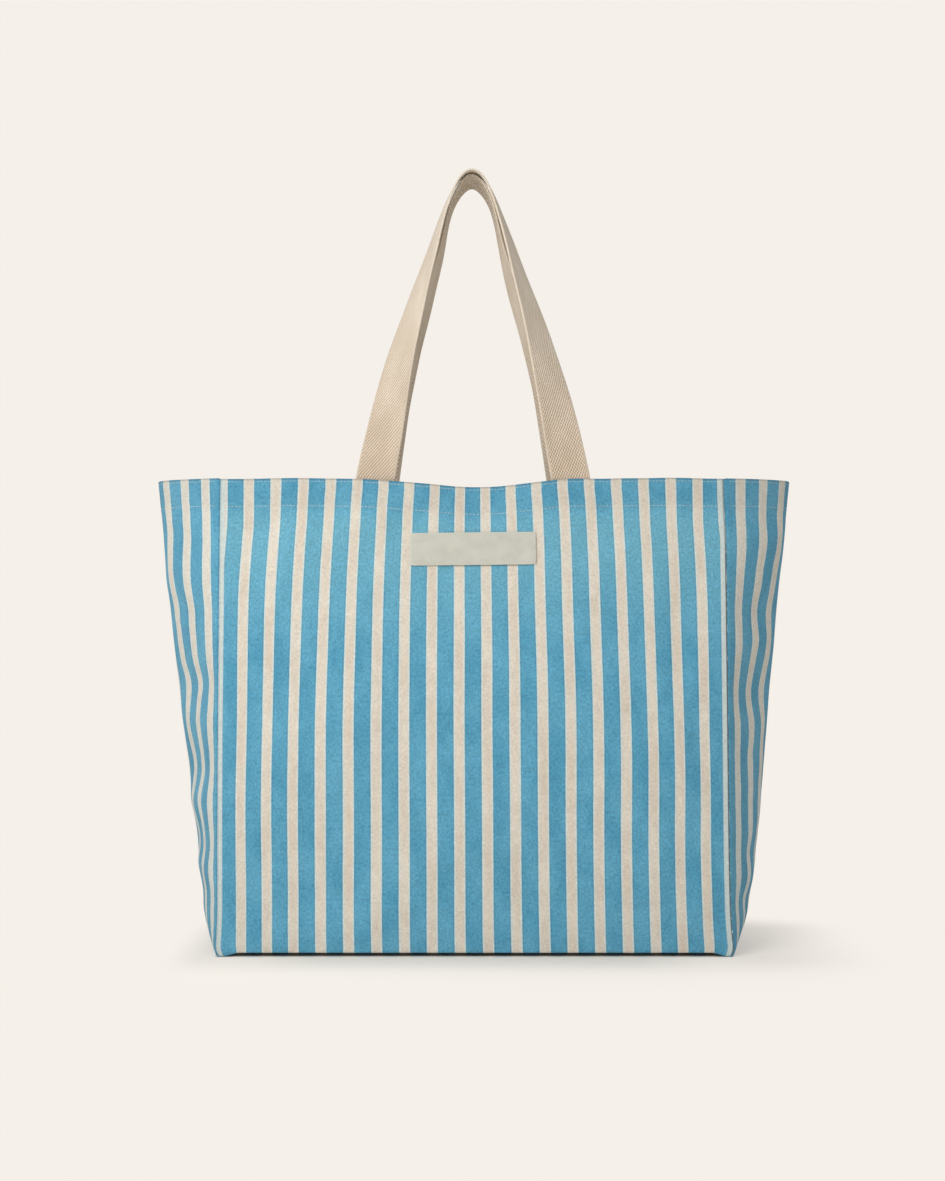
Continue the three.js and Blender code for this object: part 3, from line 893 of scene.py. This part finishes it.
STITCH_PROFILE = np.array([-0.5, -0.42, -0.2, 0.2, 0.42, 0.5])  # stations along one stitch
STITCH_GIRTH = np.array([0.45, 0.85, 1.0, 1.0, 0.85, 0.45])  # and how thick it is there
STITCH_SIDES = 6
HEM_STITCH_END = 0.003  # from a panel's seam
GUSSET_STITCH_END = 0.965  # and on a gusset, where its seam is at 1
BINDING_STITCH_END = 0.004
BOX_MARGIN, BOX_TOP_MARGIN = 0.004, 0.0035


def add_stitches(builder, path, normal, length=0.0026, pitch=0.0034, radius=0.00017):
    """A row of single stitches along a path, each a little grain of thread that dips in at both ends."""
    path = settle(path)
    steps = np.linalg.norm(np.diff(path, axis=0), axis=1)
    run = np.concatenate([[0], np.cumsum(steps)])
    count = int(run[-1] / pitch)
    angle = np.arange(STITCH_SIDES)[:, None] / STITCH_SIDES * TAU
    ring = np.arange(len(STITCH_PROFILE) * STITCH_SIDES).reshape(-1, STITCH_SIDES)
    first, last = ring[0], ring[-1]
    ends = [first[[3, 2, 1, 0]], first[[0, 5, 4, 3]], last[[0, 1, 2, 3]], last[[3, 4, 5, 0]]]
    faces = np.concatenate([tube_faces(ring), ends])
    lift = radius * (0.75 - 1.5 * np.abs(2 * STITCH_PROFILE) ** 4)
    for i in range(count):
        middle = (i + 0.5) * run[-1] / count
        points = interpolated(middle + STITCH_PROFILE * length, run, path)
        up = unit(interpolated(middle, run, normal))
        side = np.cross(unit(points[-1] - points[0]), up)
        centre = points + up * lift[:, None]
        turn = np.cos(angle) * side + np.sin(angle) * up
        grain = centre[:, None, :] + turn * (STITCH_GIRTH * radius)[:, None, None]
        builder.add(grain, faces)


def wall_row(surface, level, inset=0.0):
    """Three close rows of a wall about a height, from which a path on it can be taken."""
    step = 0.0006
    rows = np.array([[level - step], [level], [level + step]])
    return surface(rows, inset)


def make_hem_stitches(material):
    builder = Builder()
    end = WIDTH / 2 - HEM_STITCH_END
    columns = np.linspace(-end, end, 200)[None, :]
    t = np.linspace(-GUSSET_STITCH_END, GUSSET_STITCH_END, 120)[None, :]
    walls = [
        (lambda z, inset: panel_surface(columns, z, FRONT_WAVES, True, inset), True),
        (lambda z, inset: panel_surface(columns, z, BACK_WAVES, False, inset), False),
        (lambda z, inset: LEFT.surface(t, z, inset), True),
        (lambda z, inset: RIGHT.surface(t, z, inset), False),
    ]
    inside = 2 * FOLD_RADIUS
    for surface, front in walls:
        for below in (HEM_STITCH, EDGE_STITCH):
            for inset, way in ((0.0, 1), (inside, -1)):
                points = facing(wall_row(surface, HEIGHT - below, inset), front)
                normal = grid_normals(points)[1] * way
                add_stitches(builder, points[1] + normal * CLOTH / 2, normal)
    return builder.build("hem_stitches", material)


def make_binding_stitches(material):
    builder = Builder()
    z = np.linspace(SEAM_FOOT + BINDING_STITCH_END, SEAM_TOP - BINDING_STITCH_END, 60)
    for front in (True, False):
        for side_x in (-1, 1):
            points = corner_tape(side_x, z)
            points, normal = facing(points, front), facing(grid_normals(points), front)
            for column in (2, -3):
                row = points[:, column] + normal[:, column] * TAPE / 2
                add_stitches(builder, row, normal[:, column], pitch=0.0042, length=0.003)
    return builder.build("binding_stitches", material)


def make_tail_stitches(name, handle, front, material):
    """A box with a cross in it on the inside of each sewn end of a handle."""
    builder = Builder()
    for side_x in (-1, 1):
        bottom, wide = handle.tail(side_x, TAIL_END + BOX_MARGIN)
        top, _ = handle.tail(side_x, FOLD_LEVEL - BOX_TOP_MARGIN)
        half = abs(wide[0]) * (WEB / 2 - BOX_MARGIN)
        face = WEB_THICKNESS / 2
        corners = [bottom + [-half, face, 0], bottom + [half, face, 0]]
        corners += [top + [half, face, 0], top + [-half, face, 0]]
        for a, b in ((0, 1), (1, 2), (2, 3), (3, 0), (0, 2), (1, 3)):
            path = np.linspace(corners[a], corners[b], 12)
            normal = np.broadcast_to([0.0, 1.0, 0.0], path.shape)
            add_stitches(builder, facing(path, front), facing(normal, front))
    return builder.build(name, material)


# ---- Label ----


LABEL_LEVEL = HEIGHT - LABEL_DROP - LABEL_HEIGHT / 2
LABEL_EDGE = np.array([0, 0.0002, 0.0006, 0.0013, 0.0022, 0.0035])  # rows next to its edge
LABEL_FOLD, LABEL_FOLD_THIN = 0.0009, 0.35  # how wide the folded edge is round, and its share at the rim
LABEL_CORNER_PULL = 0.3
LABEL_PUFF, LABEL_WAVE = 0.00035, 0.00012
LABEL_SEAM, LABEL_SEAM_IN, LABEL_SEAM_WIDTH = 0.0002, 0.0045, 0.0007


def label_points(across, up, lift):
    """Points on the label, which lies on the front and follows it, a little off level."""
    cosine, sine = math.cos(LABEL_TILT), math.sin(LABEL_TILT)
    x = across * cosine - up * sine
    level = LABEL_LEVEL + up * cosine + across * sine
    surface = panel_surface(x, level, FRONT_WAVES, True)
    lean = (panel_depth(0.0, LABEL_LEVEL - 0.01) - panel_depth(0.0, LABEL_LEVEL + 0.01)) / 0.02
    surface[..., 2] = level
    surface[..., 1] -= (CLOTH / 2 + lift) * math.cos(math.atan(lean))
    return settle(surface)


def label_rows(half, margin, count):
    between = np.linspace(-half + margin, half - margin, count)
    return np.concatenate([-half + LABEL_EDGE, between, half - LABEL_EDGE[::-1]])


def make_label(material):
    """A strip of woven cotton with its edges folded under. It puffs up slightly and is bare."""
    builder = Builder()
    half_x, half_z = LABEL_WIDTH / 2, LABEL_HEIGHT / 2
    across, up = np.meshgrid(label_rows(half_x, 0.006, 50), label_rows(half_z, 0.005, 14))
    near_x, near_z = half_x - np.abs(across), half_z - np.abs(up)
    corner = np.clip(LABEL_CORNER - near_x, 0, None) * np.clip(LABEL_CORNER - near_z, 0, None)
    pull = corner / LABEL_CORNER * LABEL_CORNER_PULL
    across = across - np.sign(across) * pull
    up = up - np.sign(up) * pull
    rim = np.minimum(near_x, near_z)
    fold = np.sqrt(np.clip(1 - np.clip(1 - rim / LABEL_FOLD, 0, 1) ** 2, 0, 1))
    waves = Ripples(91, 0.012, 0.05)
    puff = LABEL_PUFF * smooth(rim, 0, 0.006) + LABEL_WAVE * waves(across, up) * smooth(rim, 0.001, 0.004)
    seam = LABEL_SEAM * bell(rim - LABEL_SEAM_IN, LABEL_SEAM_WIDTH)
    thick = LABEL_THICKNESS * mix(LABEL_FOLD_THIN, 1, fold) + puff - seam
    front = label_points(across, up, GAP + thick)
    back = label_points(across, up, GAP)
    flat = stacked(across, up)
    trim = stacked(rim, near_x)
    index = np.arange(2 * across.size).reshape(2, *across.shape)
    points = np.stack([front, back])
    builder.add(points, sheet_faces(*index), np.stack([flat, flat]), np.stack([trim, trim]))
    return builder.build("label_cloth", material, sharp=math.radians(70))


# ---- Materials ----


def linear(red, green, blue):
    """A colour written as 0 to 255, as the shader wants it."""
    values = []
    for value in (red, green, blue):
        value /= 255
        values.append(value / 12.92 if value <= 0.04045 else ((value + 0.055) / 1.055) ** 2.4)
    return (*values, 1.0)


class Value:
    """A number that varies over a material, so that formulas about it read as they would on paper."""

    def __init__(self, shader, socket):
        self.shader = shader
        self.socket = socket

    def __add__(self, other):
        return self.shader.math("ADD", self, other)

    def __sub__(self, other):
        return self.shader.math("SUBTRACT", self, other)

    def __rsub__(self, other):
        return self.shader.math("SUBTRACT", other, self)

    def __mul__(self, other):
        return self.shader.math("MULTIPLY", self, other)

    def __gt__(self, other):
        return self.shader.math("GREATER_THAN", self, other)

    def __lt__(self, other):
        return self.shader.math("LESS_THAN", self, other)

    def __abs__(self):
        return self.shader.math("ABSOLUTE", self)

    __radd__ = __add__
    __rmul__ = __mul__

    def most(self, other):
        return self.shader.math("MAXIMUM", self, other)

    def ramp(self, low, high, to_low=0.0, to_high=1.0):
        """A smooth step from to_low to to_high while this goes from low to high."""
        node = self.shader.node("MapRange", self, low, high, to_low, to_high)
        node.interpolation_type = "SMOOTHSTEP"
        return Value(self.shader, node.outputs[0])


class Shader:
    """One material's nodes, with a short call for each kind used here."""

    def __init__(self, name, roughness, sheen=0.0):
        self.material = bpy.data.materials.new(name)
        self.material.use_nodes = True
        self.tree = self.material.node_tree
        self.surface = self.tree.nodes["Principled BSDF"]
        self.surface.inputs["Roughness"].default_value = roughness
        self.surface.inputs["Sheen Weight"].default_value = sheen
        self.surface.inputs["Sheen Roughness"].default_value = 0.6
        self.surface.inputs["Specular IOR Level"].default_value = 0.2

    def join(self, value, socket):
        """Links a socket to a node's output, or sets it to a number or a colour."""
        if isinstance(value, Value):
            value = value.socket
        if isinstance(value, bpy.types.NodeSocket):
            self.tree.links.new(value, socket)
        else:
            socket.default_value = value

    def node(self, kind, *values):
        """A new node, with the values joined to its first inputs."""
        node = self.tree.nodes.new("ShaderNode" + kind)
        for value, socket in zip(values, node.inputs):
            self.join(value, socket)
        return node

    def math(self, operation, *values):
        node = self.node("Math", *values)
        node.operation = operation
        return Value(self, node.outputs[0])

    def split(self, vector):
        return [Value(self, output) for output in self.node("SeparateXYZ", vector).outputs]

    def uv(self, name):
        node = self.node("UVMap")
        node.uv_map = name
        return self.split(node.outputs[0])[:2]

    def place(self):
        """Where a point of the object is."""
        return self.split(self.node("TexCoord").outputs["Object"])

    def wave(self, x, pitch):
        return self.math("SINE", x * (TAU / pitch))

    def weave(self, u, v, pitch):
        """Over and under in both directions, from -1 to 1."""
        return self.wave(u, pitch) * self.wave(v, pitch)

    def noise(self, x, y, scale_x, scale_y, z=0.0, detail=2.0, roughness=0.5):
        vector = self.node("CombineXYZ", x * scale_x, y * scale_y, z)
        node = self.node("TexNoise", vector.outputs[0])
        node.inputs["Scale"].default_value = 1.0
        node.inputs["Detail"].default_value = detail
        node.inputs["Roughness"].default_value = roughness
        return Value(self, node.outputs["Fac"])

    def cells(self, x, y, scale_x, scale_y):
        """Distance to the nearest of scattered points, and that point's own random value."""
        vector = self.node("CombineXYZ", x * scale_x, y * scale_y, 0.0)
        node = self.node("TexVoronoi", vector.outputs[0])
        node.inputs["Scale"].default_value = 1.0
        split = self.node("SeparateColor", node.outputs["Color"])
        return Value(self, node.outputs["Distance"]), Value(self, split.outputs[0])

    def blend(self, share, first, second, way="MIX"):
        node = self.node("Mix", share)
        node.data_type = "RGBA"
        node.blend_type = way
        self.join(first, node.inputs[6])
        self.join(second, node.inputs[7])
        return node.outputs[2]

    def shade(self, colour, amount):
        """The colour times a grey amount."""
        grey = self.node("CombineColor", amount, amount, amount)
        return self.blend(1.0, colour, grey.outputs[0], "MULTIPLY")

    def finish(self, colour, height, distance):
        bump = self.node("Bump")
        bump.inputs["Strength"].default_value = 0.8
        bump.inputs["Distance"].default_value = distance
        self.join(height, bump.inputs["Height"])
        self.join(bump.outputs[0], self.surface.inputs["Normal"])
        self.join(colour, self.surface.inputs["Base Color"])
        return self.material


BLUE = linear(99, 171, 202)
BLUE_DEEP = linear(80, 155, 188)
# the paler blue under the hem is painted light
BLUE_LIT = linear(114, 180, 203)
NATURAL = linear(227, 219, 205)
NATURAL_WARM = linear(220, 208, 192)
NATURAL_COOL = linear(216, 216, 207)
EDGE_PALE = linear(213, 224, 222)
STRIP_PALE = linear(204, 217, 216)
SEAM_SHADE = linear(30, 66, 82)  # painted shade deep in the turned edges beside a seam
FLECK = linear(116, 104, 92)
WEB_DARK, WEB_LIGHT = linear(184, 167, 147), linear(197, 180, 161)
# the paler colours at the top of each loop are painted light
WEB_LIT_TOP_DARK, WEB_LIT_TOP_LIGHT = linear(204, 191, 173), linear(215, 203, 187)
WEB_EDGE = linear(238, 229, 214)
TAPE_DARK, TAPE_LIGHT = linear(210, 196, 176), linear(226, 214, 197)
LABEL_DARK, LABEL_LIGHT = linear(193, 193, 182), linear(201, 202, 191)
LABEL_FOLD_HIGHLIGHT = linear(222, 222, 212)
THREAD = linear(222, 214, 200)
THREAD_STEP = 0.00085
RIB_PITCH, RIB_SLOPE = 0.0027, 0.62
SELVEDGE_PITCH = 0.0009
TAPE_ZIGZAG, TAPE_RIB_PITCH = 0.003, 0.0011
LABEL_STEP = 0.00045
PLY_PITCH = 0.0005


def canvas_material(name):
    """Striped cotton canvas: mottled dye, a paler line along each stripe, slubs, flecks and weave."""
    shader = Shader(name, 0.93, sheen=0.12)
    u, v = shader.uv("cloth")
    seam, below_rim = shader.uv("trim")
    below = abs(below_rim)
    on_panel = seam > 0.0
    on_gusset = seam < 0.0
    right = u > 0.2

    fuzz = shader.noise(u, v, 1400, 700, detail=3)
    shaky = (u - 0.0003) + 0.0006 * fuzz
    turn = shader.math("FRACT", shaky * (1 / REPEAT) + 0.5)
    off = abs(turn - 0.5) * REPEAT  # from the middle of the nearest blue stripe
    natural = off.ramp(BLUE_HALF - 0.0003, BLUE_HALF + 0.0004)
    beyond = off.ramp(BLUE_HALF + 0.0010, BLUE_HALF + 0.0022)
    past_strip = seam - (EDGE_STRIP + 0.0012 * right)
    strip = past_strip.ramp(-0.0004, 0.0004, 1.0, 0.0) * on_panel
    bare = natural.most(strip)

    cloud = shader.noise(u, v, 34, 20, detail=4, roughness=0.6)
    patch = shader.noise(u, v, 150, 110, 3.0, detail=3, roughness=0.6)
    grain = shader.noise(u, v, 480, 380, detail=4, roughness=0.8)
    streak = shader.noise(u, v, 900, 45, detail=2)
    # A paler blue band under the hem on the front and back: painted light on the upper part of the panels.
    lit_below_hem = below.ramp(0.015, 0.045, 0.0, 0.7) * below.ramp(0.05, 0.18, 1.0, 0.0) * on_panel
    blue = shader.blend(cloud.ramp(0.32, 0.68), BLUE_DEEP, BLUE)
    blue = shader.blend(lit_below_hem, blue, BLUE_LIT)
    cream = shader.blend(cloud.ramp(0.35, 0.65), NATURAL_WARM, NATURAL)
    cream = shader.blend(0.6 * on_gusset, cream, NATURAL_COOL)
    cream = shader.blend(on_gusset * below.ramp(0.18, 0.38, 0.0, 0.7), cream, EDGE_PALE)
    cream = shader.blend(beyond, EDGE_PALE, cream)
    pale = shader.blend(strip, cream, STRIP_PALE)
    colour = shader.blend(bare, blue, pale)
    dense = off.ramp(BLUE_HALF - 0.0016, BLUE_HALF - 0.0002, 1.0, 0.84)
    colour = shader.shade(colour, dense.most(bare))

    distance, chance = shader.cells(u, v, 110, 80)
    fleck = distance.ramp(0.02, 0.06, 1.0, 0.0) * chance.ramp(0.84, 0.86) * 0.6
    colour = shader.blend(fleck, colour, FLECK)

    weave = shader.weave(u, v, THREAD_STEP)
    light = 1.0 + (grain - 0.5) * (1.7 - 0.9 * bare)
    light = light * (0.87 + 0.26 * patch)
    # Darker over the hem's band at the top: painted shade where the hem turns away from the light.
    light = light * below.ramp(0.020, 0.034, 0.93, 1.0)
    light = light * (0.95 + 0.10 * streak)
    light = light * (1.0 + 0.05 * weave)
    # A darker line along the rim's fold: painted shade.
    light = light * below.ramp(0.0006, 0.0022, 0.62, 1.0)
    colour = shader.shade(colour, light)
    # Painted shade in the groove beside each seam, heavier on the right-hand edges of the panels lower
    # down.
    shut = abs(seam).ramp(0.0012, 0.0019, 1.0, 0.0)
    painted_seam_shade = 0.20 + right * below.ramp(0.045, 0.075, 0.2, 0.62)
    colour = shader.blend(shut * painted_seam_shade, colour, SEAM_SHADE)
    return shader.finish(colour, weave + 1.6 * grain, distance=0.00022)


def web_material(name):
    """Heavy twill: diagonal ribs, a weaker set crossing them, and a plain selvedge along each edge."""
    shader = Shader(name, 0.9, sheen=0.1)
    across, along = shader.uv("cloth")
    high = abs(along).ramp(0.10, 0.33, 1.0, 0.0)
    wobble = shader.noise(across, along, 160, 60, detail=2)
    rib = shader.wave(across - RIB_SLOPE * along + 0.0012 * wobble, RIB_PITCH)
    cross = shader.wave(across + RIB_SLOPE * along, RIB_PITCH)
    edge = WEB / 2 - abs(across)
    body = edge.ramp(0.0016, 0.0030)
    ribs = (rib + cross * along.ramp(-0.06, 0.10, 0.2, 0.8)) * (1.0 - 0.5 * high)
    height = ribs * body + 0.5 * (shader.wave(along, SELVEDGE_PITCH) * (1.0 - body))
    cloud = shader.noise(across, along, 30, 14, detail=3).ramp(0.35, 0.68)
    grain = shader.noise(across, along, 700, 500, detail=3, roughness=0.7)
    low_colour = shader.blend(cloud, WEB_DARK, WEB_LIGHT)
    # The top of each loop is paler: painted light.
    lit_top_colour = shader.blend(cloud, WEB_LIT_TOP_DARK, WEB_LIT_TOP_LIGHT)
    colour = shader.blend(high, low_colour, lit_top_colour)
    colour = shader.blend(edge.ramp(0.0004, 0.0022, 0.24, 0.0), colour, WEB_EDGE)
    # Brighter along the right-hand leg, as seen from the handle's own face, up to 8 percent: painted light.
    light = (0.27 * height + along.ramp(0.0, 0.16, 0.99, 1.08)) * (0.82 + 0.36 * grain)
    return shader.finish(shader.shade(colour, light), height, distance=0.00028)


def tape_material(name):
    """Natural cotton tape in a fine herringbone."""
    shader = Shader(name, 0.92, sheen=0.1)
    u, v = shader.uv("cloth")
    rib = shader.wave(shader.math("PINGPONG", u, TAPE_ZIGZAG) + v, TAPE_RIB_PITCH)
    grain = shader.noise(u, v, 900, 500, detail=3)
    colour = shader.blend(shader.noise(u, v, 60, 20, detail=2), TAPE_DARK, TAPE_LIGHT)
    light = 0.9 + 0.16 * grain + 0.05 * rib
    return shader.finish(shader.shade(colour, light), rib, distance=0.00015)


def label_material(name):
    """Fine off-white cotton, painted paler along its folded-under edge as a highlight, and left bare."""
    shader = Shader(name, 0.85, sheen=0.1)
    u, v = shader.uv("cloth")
    rim, _ = shader.uv("trim")
    weave = shader.weave(u, v, LABEL_STEP)
    cloud = shader.noise(u, v, 55, 75, detail=3)
    grain = shader.noise(u, v, 900, 900, detail=3)
    colour = shader.blend(cloud.ramp(0.3, 0.7), LABEL_DARK, LABEL_LIGHT)
    # Paler towards the folded edge all round: a painted highlight.
    colour = shader.blend(rim.ramp(0.0, 0.0012, 0.4, 0.0), colour, LABEL_FOLD_HIGHLIGHT)
    light = 0.88 + 0.24 * grain + 0.03 * weave
    return shader.finish(shader.shade(colour, light), weave, distance=0.0001)


def thread_material(name):
    """Twisted sewing thread."""
    shader = Shader(name, 0.75, sheen=0.1)
    x, y, z = shader.place()
    ply = shader.wave(x + y + 1.6 * z, PLY_PITCH)
    tone = shader.noise(x, y, 1, 1, z, detail=1)
    light = 0.93 + 0.1 * tone + 0.06 * ply
    return shader.finish(shader.shade(THREAD, light), ply, distance=0.00008)


canvas = canvas_material("canvas_cloth")
webbing = web_material("handle_webbing")
tape = tape_material("binding_tape_cloth")
label_cloth = label_material("label_cloth_material")
thread = thread_material("natural_thread")

# ---- Pieces ----


def place(obj, slot, *nodes):
    """Hangs a piece of the bag itself on the bag's body, and hides the solids that it stands for."""
    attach(obj, "bag")
    if nodes:
        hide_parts(*nodes)
    return obj


place(make_hem_stitches(thread), "binding_tape")
place(make_binding_stitches(thread), "binding_tape")

PANEL_CUT = (WIDTH + 2 * ALLOWANCE, HEIGHT + HEM + ALLOWANCE)
GUSSET_CUT = (GUSSET + 2 * ALLOWANCE, HEIGHT + HEM + ALLOWANCE)
BASE_CUT = (WIDTH + 2 * ALLOWANCE, GUSSET + 2 * ALLOWANCE)

walls = [
    (make_panel("front_cloth", FRONT_WAVES, True, canvas), "front_panel", PANEL_CUT),
    (make_panel("back_cloth", BACK_WAVES, False, canvas), "back_panel", PANEL_CUT),
    (make_gusset("left_gusset_cloth", LEFT, False, canvas), "left_gusset", GUSSET_CUT),
    (make_gusset("right_gusset_cloth", RIGHT, True, canvas), "right_gusset", GUSSET_CUT),
    (make_base(canvas), "base_panel", BASE_CUT),
]
for wall, node, cut in walls:
    place(wall, "canvas", node)
label_piece = place(make_label(label_cloth), "label", "label")

for face in ("front", "back"):
    for hand, side in (("left", -1), ("right", 1)):
        binding = make_corner_binding(f"corner_tape_{face}_{hand}", side, face == "front", tape)
        place(binding, "binding_tape", f"corner_binding_{face}_{hand}")
base_tape = place(make_base_binding(tape), "binding_tape", "base_binding")

HINGE_Y = half_depth(FOLD_LEVEL) - FOLD_RADIUS

BLEND_START, BLEND_END = FOLD_LEVEL - 0.002, FOLD_LEVEL + 0.010  # heights just under and over the rim's fold, which nothing here reads

# The two loops lean together: the back one stands inside the front one, a little lower.
FRONT_LOOP = Handle(
    top=(0.0150, 0.7461),
    power=1.98,
    pull=0.0070,
    crown=0.0009,
    lean=-0.0013,
    turn=math.radians(87.4),
    twist_power=1.55,
    droop=math.radians(3.0),
)
BACK_LOOP = Handle(
    top=(-0.0018, 0.7400),
    power=1.59,
    pull=0.0030,
    crown=0.0029,
    lean=0.0015,
    turn=math.radians(95.3),
    twist_power=1.99,
    droop=math.radians(16.5),
    cup=0.0040,
)

for face, handle, seed in (("front", FRONT_LOOP, 101), ("back", BACK_LOOP, 103)):
    front = face == "front"
    strap = make_handle(f"{face}_strap", handle, front, seed, webbing)
    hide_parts(f"{face}_handle", f"{face}_handle_left_end", f"{face}_handle_right_end")
    length = handle.length + 2 * (FOLD_LEVEL - TAIL_END)
    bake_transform(strap)
    place(make_tail_stitches(f"{face}_strap_stitches", handle, front, thread), "binding_tape")

# ---- Floor, light and camera ----

BACKDROP = linear(245, 240, 233)
PAPER = linear(252, 247, 240)
AMBIENT = (0.995, 0.985, 0.97, 1)
AMBIENT_STRENGTH = 0.56


def choose_by(tree, share, first, second, output):
    """Shows the first of two shaders where the share is 0, and the second where it is 1."""
    choose = tree.nodes.new("ShaderNodeMixShader")
    for value, socket in zip((share, first, second), choose.inputs):
        tree.links.new(value, socket)
    tree.links.new(choose.outputs[0], output.inputs["Surface"])


def make_world():
    world = bpy.data.worlds.new("studio")
    bpy.context.scene.world = world
    world.use_nodes = True
    tree = world.node_tree
    tree.nodes.clear()
    seen = tree.nodes.new("ShaderNodeBackground")
    seen.inputs["Color"].default_value = BACKDROP
    ambient = tree.nodes.new("ShaderNodeBackground")
    ambient.inputs["Color"].default_value = AMBIENT
    ambient.inputs["Strength"].default_value = AMBIENT_STRENGTH
    path = tree.nodes.new("ShaderNodeLightPath")
    output = tree.nodes.new("ShaderNodeOutputWorld")
    choose_by(tree, path.outputs["Is Camera Ray"], ambient.outputs[0], seen.outputs[0], output)


FLOOR_RADIUS = 6.0
SHADOW_REACH = 0.15
FOOTPRINT_X, FOOTPRINT_Y = 0.24, 0.088
FADE_LEFT, FADE_BEHIND, FADE_AHEAD = 3.0, 1.3, 0.75  # how soon it fades there, against the right


def make_floor():
    """A pale sheet that takes the bag's shadow and melts into the backdrop further out."""
    mesh = bpy.data.meshes.new("floor")
    corners = [(-1, -1), (1, -1), (1, 1), (-1, 1)]
    mesh.from_pydata([(x * FLOOR_RADIUS, y * FLOOR_RADIUS, 0) for x, y in corners], [], [(0, 1, 2, 3)])
    floor = bpy.data.objects.new("floor", mesh)
    bpy.context.scene.collection.objects.link(floor)
    shader = Shader("floor_paper", 1.0)
    x, y, _ = shader.place()
    # How far outside the bag's footprint a point is.
    past_x = (x - FOOTPRINT_X).most(-FADE_LEFT * (x + FOOTPRINT_X)).most(0.0)
    past_y = (FADE_BEHIND * (y - FOOTPRINT_Y)).most(-FADE_AHEAD * (y + FOOTPRINT_Y)).most(0.0)
    away = shader.math("SQRT", past_x * past_x + past_y * past_y)
    weaker = abs(x).ramp(0.13, 0.235, 0.0, 0.44) * away.ramp(0.0, 0.003)
    keep = away.ramp(0.012, SHADOW_REACH, 1.0, 0.0) * (1.0 - weaker)
    # The paper is painted darker near the bag, down to 0.78 of its colour: painted shadow.
    paper = shader.node("BsdfDiffuse", shader.shade(PAPER, past_y.ramp(0.0, 0.09, 0.78, 1.0)))
    glow = shader.node("Emission", BACKDROP)
    seen = Value(shader, shader.node("LightPath").outputs["Is Camera Ray"])
    share = seen * (1.0 - keep)
    output = shader.tree.nodes["Material Output"]
    choose_by(shader.tree, share.socket, paper.outputs[0], glow.outputs[0], output)
    shader.tree.nodes.remove(shader.surface)
    mesh.materials.append(shader.material)


def make_lamp(name, location, target, size, power, colour):
    lamp = bpy.data.lights.new(name, "AREA")
    lamp.size = size
    lamp.energy = power
    lamp.color = colour
    obj = bpy.data.objects.new(name, lamp)
    bpy.context.scene.collection.objects.link(obj)
    obj.location = location
    direction = Vector(target) - obj.location
    obj.rotation_euler = direction.to_track_quat("-Z", "Y").to_euler()
    obj.visible_camera = False


def make_camera(location, tilt, lens):
    camera = bpy.data.cameras.new("camera")
    camera.sensor_fit = "VERTICAL"
    camera.sensor_height = 36
    camera.lens = lens
    obj = bpy.data.objects.new("camera", camera)
    bpy.context.scene.collection.objects.link(obj)
    obj.location = location
    obj.rotation_euler = (tilt, 0, 0)
    bpy.context.scene.camera = obj


make_world()
make_floor()
KEY_PLACE, KEY_TARGET = (-0.66, -1.15, 1.18), (0, 0, 0.24)
FILL_PLACE, FILL_TARGET = (1.3, -0.9, 0.7), (0.1, 0, 0.22)
make_lamp("key", KEY_PLACE, KEY_TARGET, size=0.87, power=16.7, colour=(1.0, 0.985, 0.96))
make_lamp("fill", FILL_PLACE, FILL_TARGET, size=0.9, power=0.6, colour=(1.0, 0.98, 0.95))
make_camera(location=(-0.0008, -2.0725, 0.313), tilt=math.radians(90.79), lens=65)
bpy.context.scene.view_settings.view_transform = "Standard"
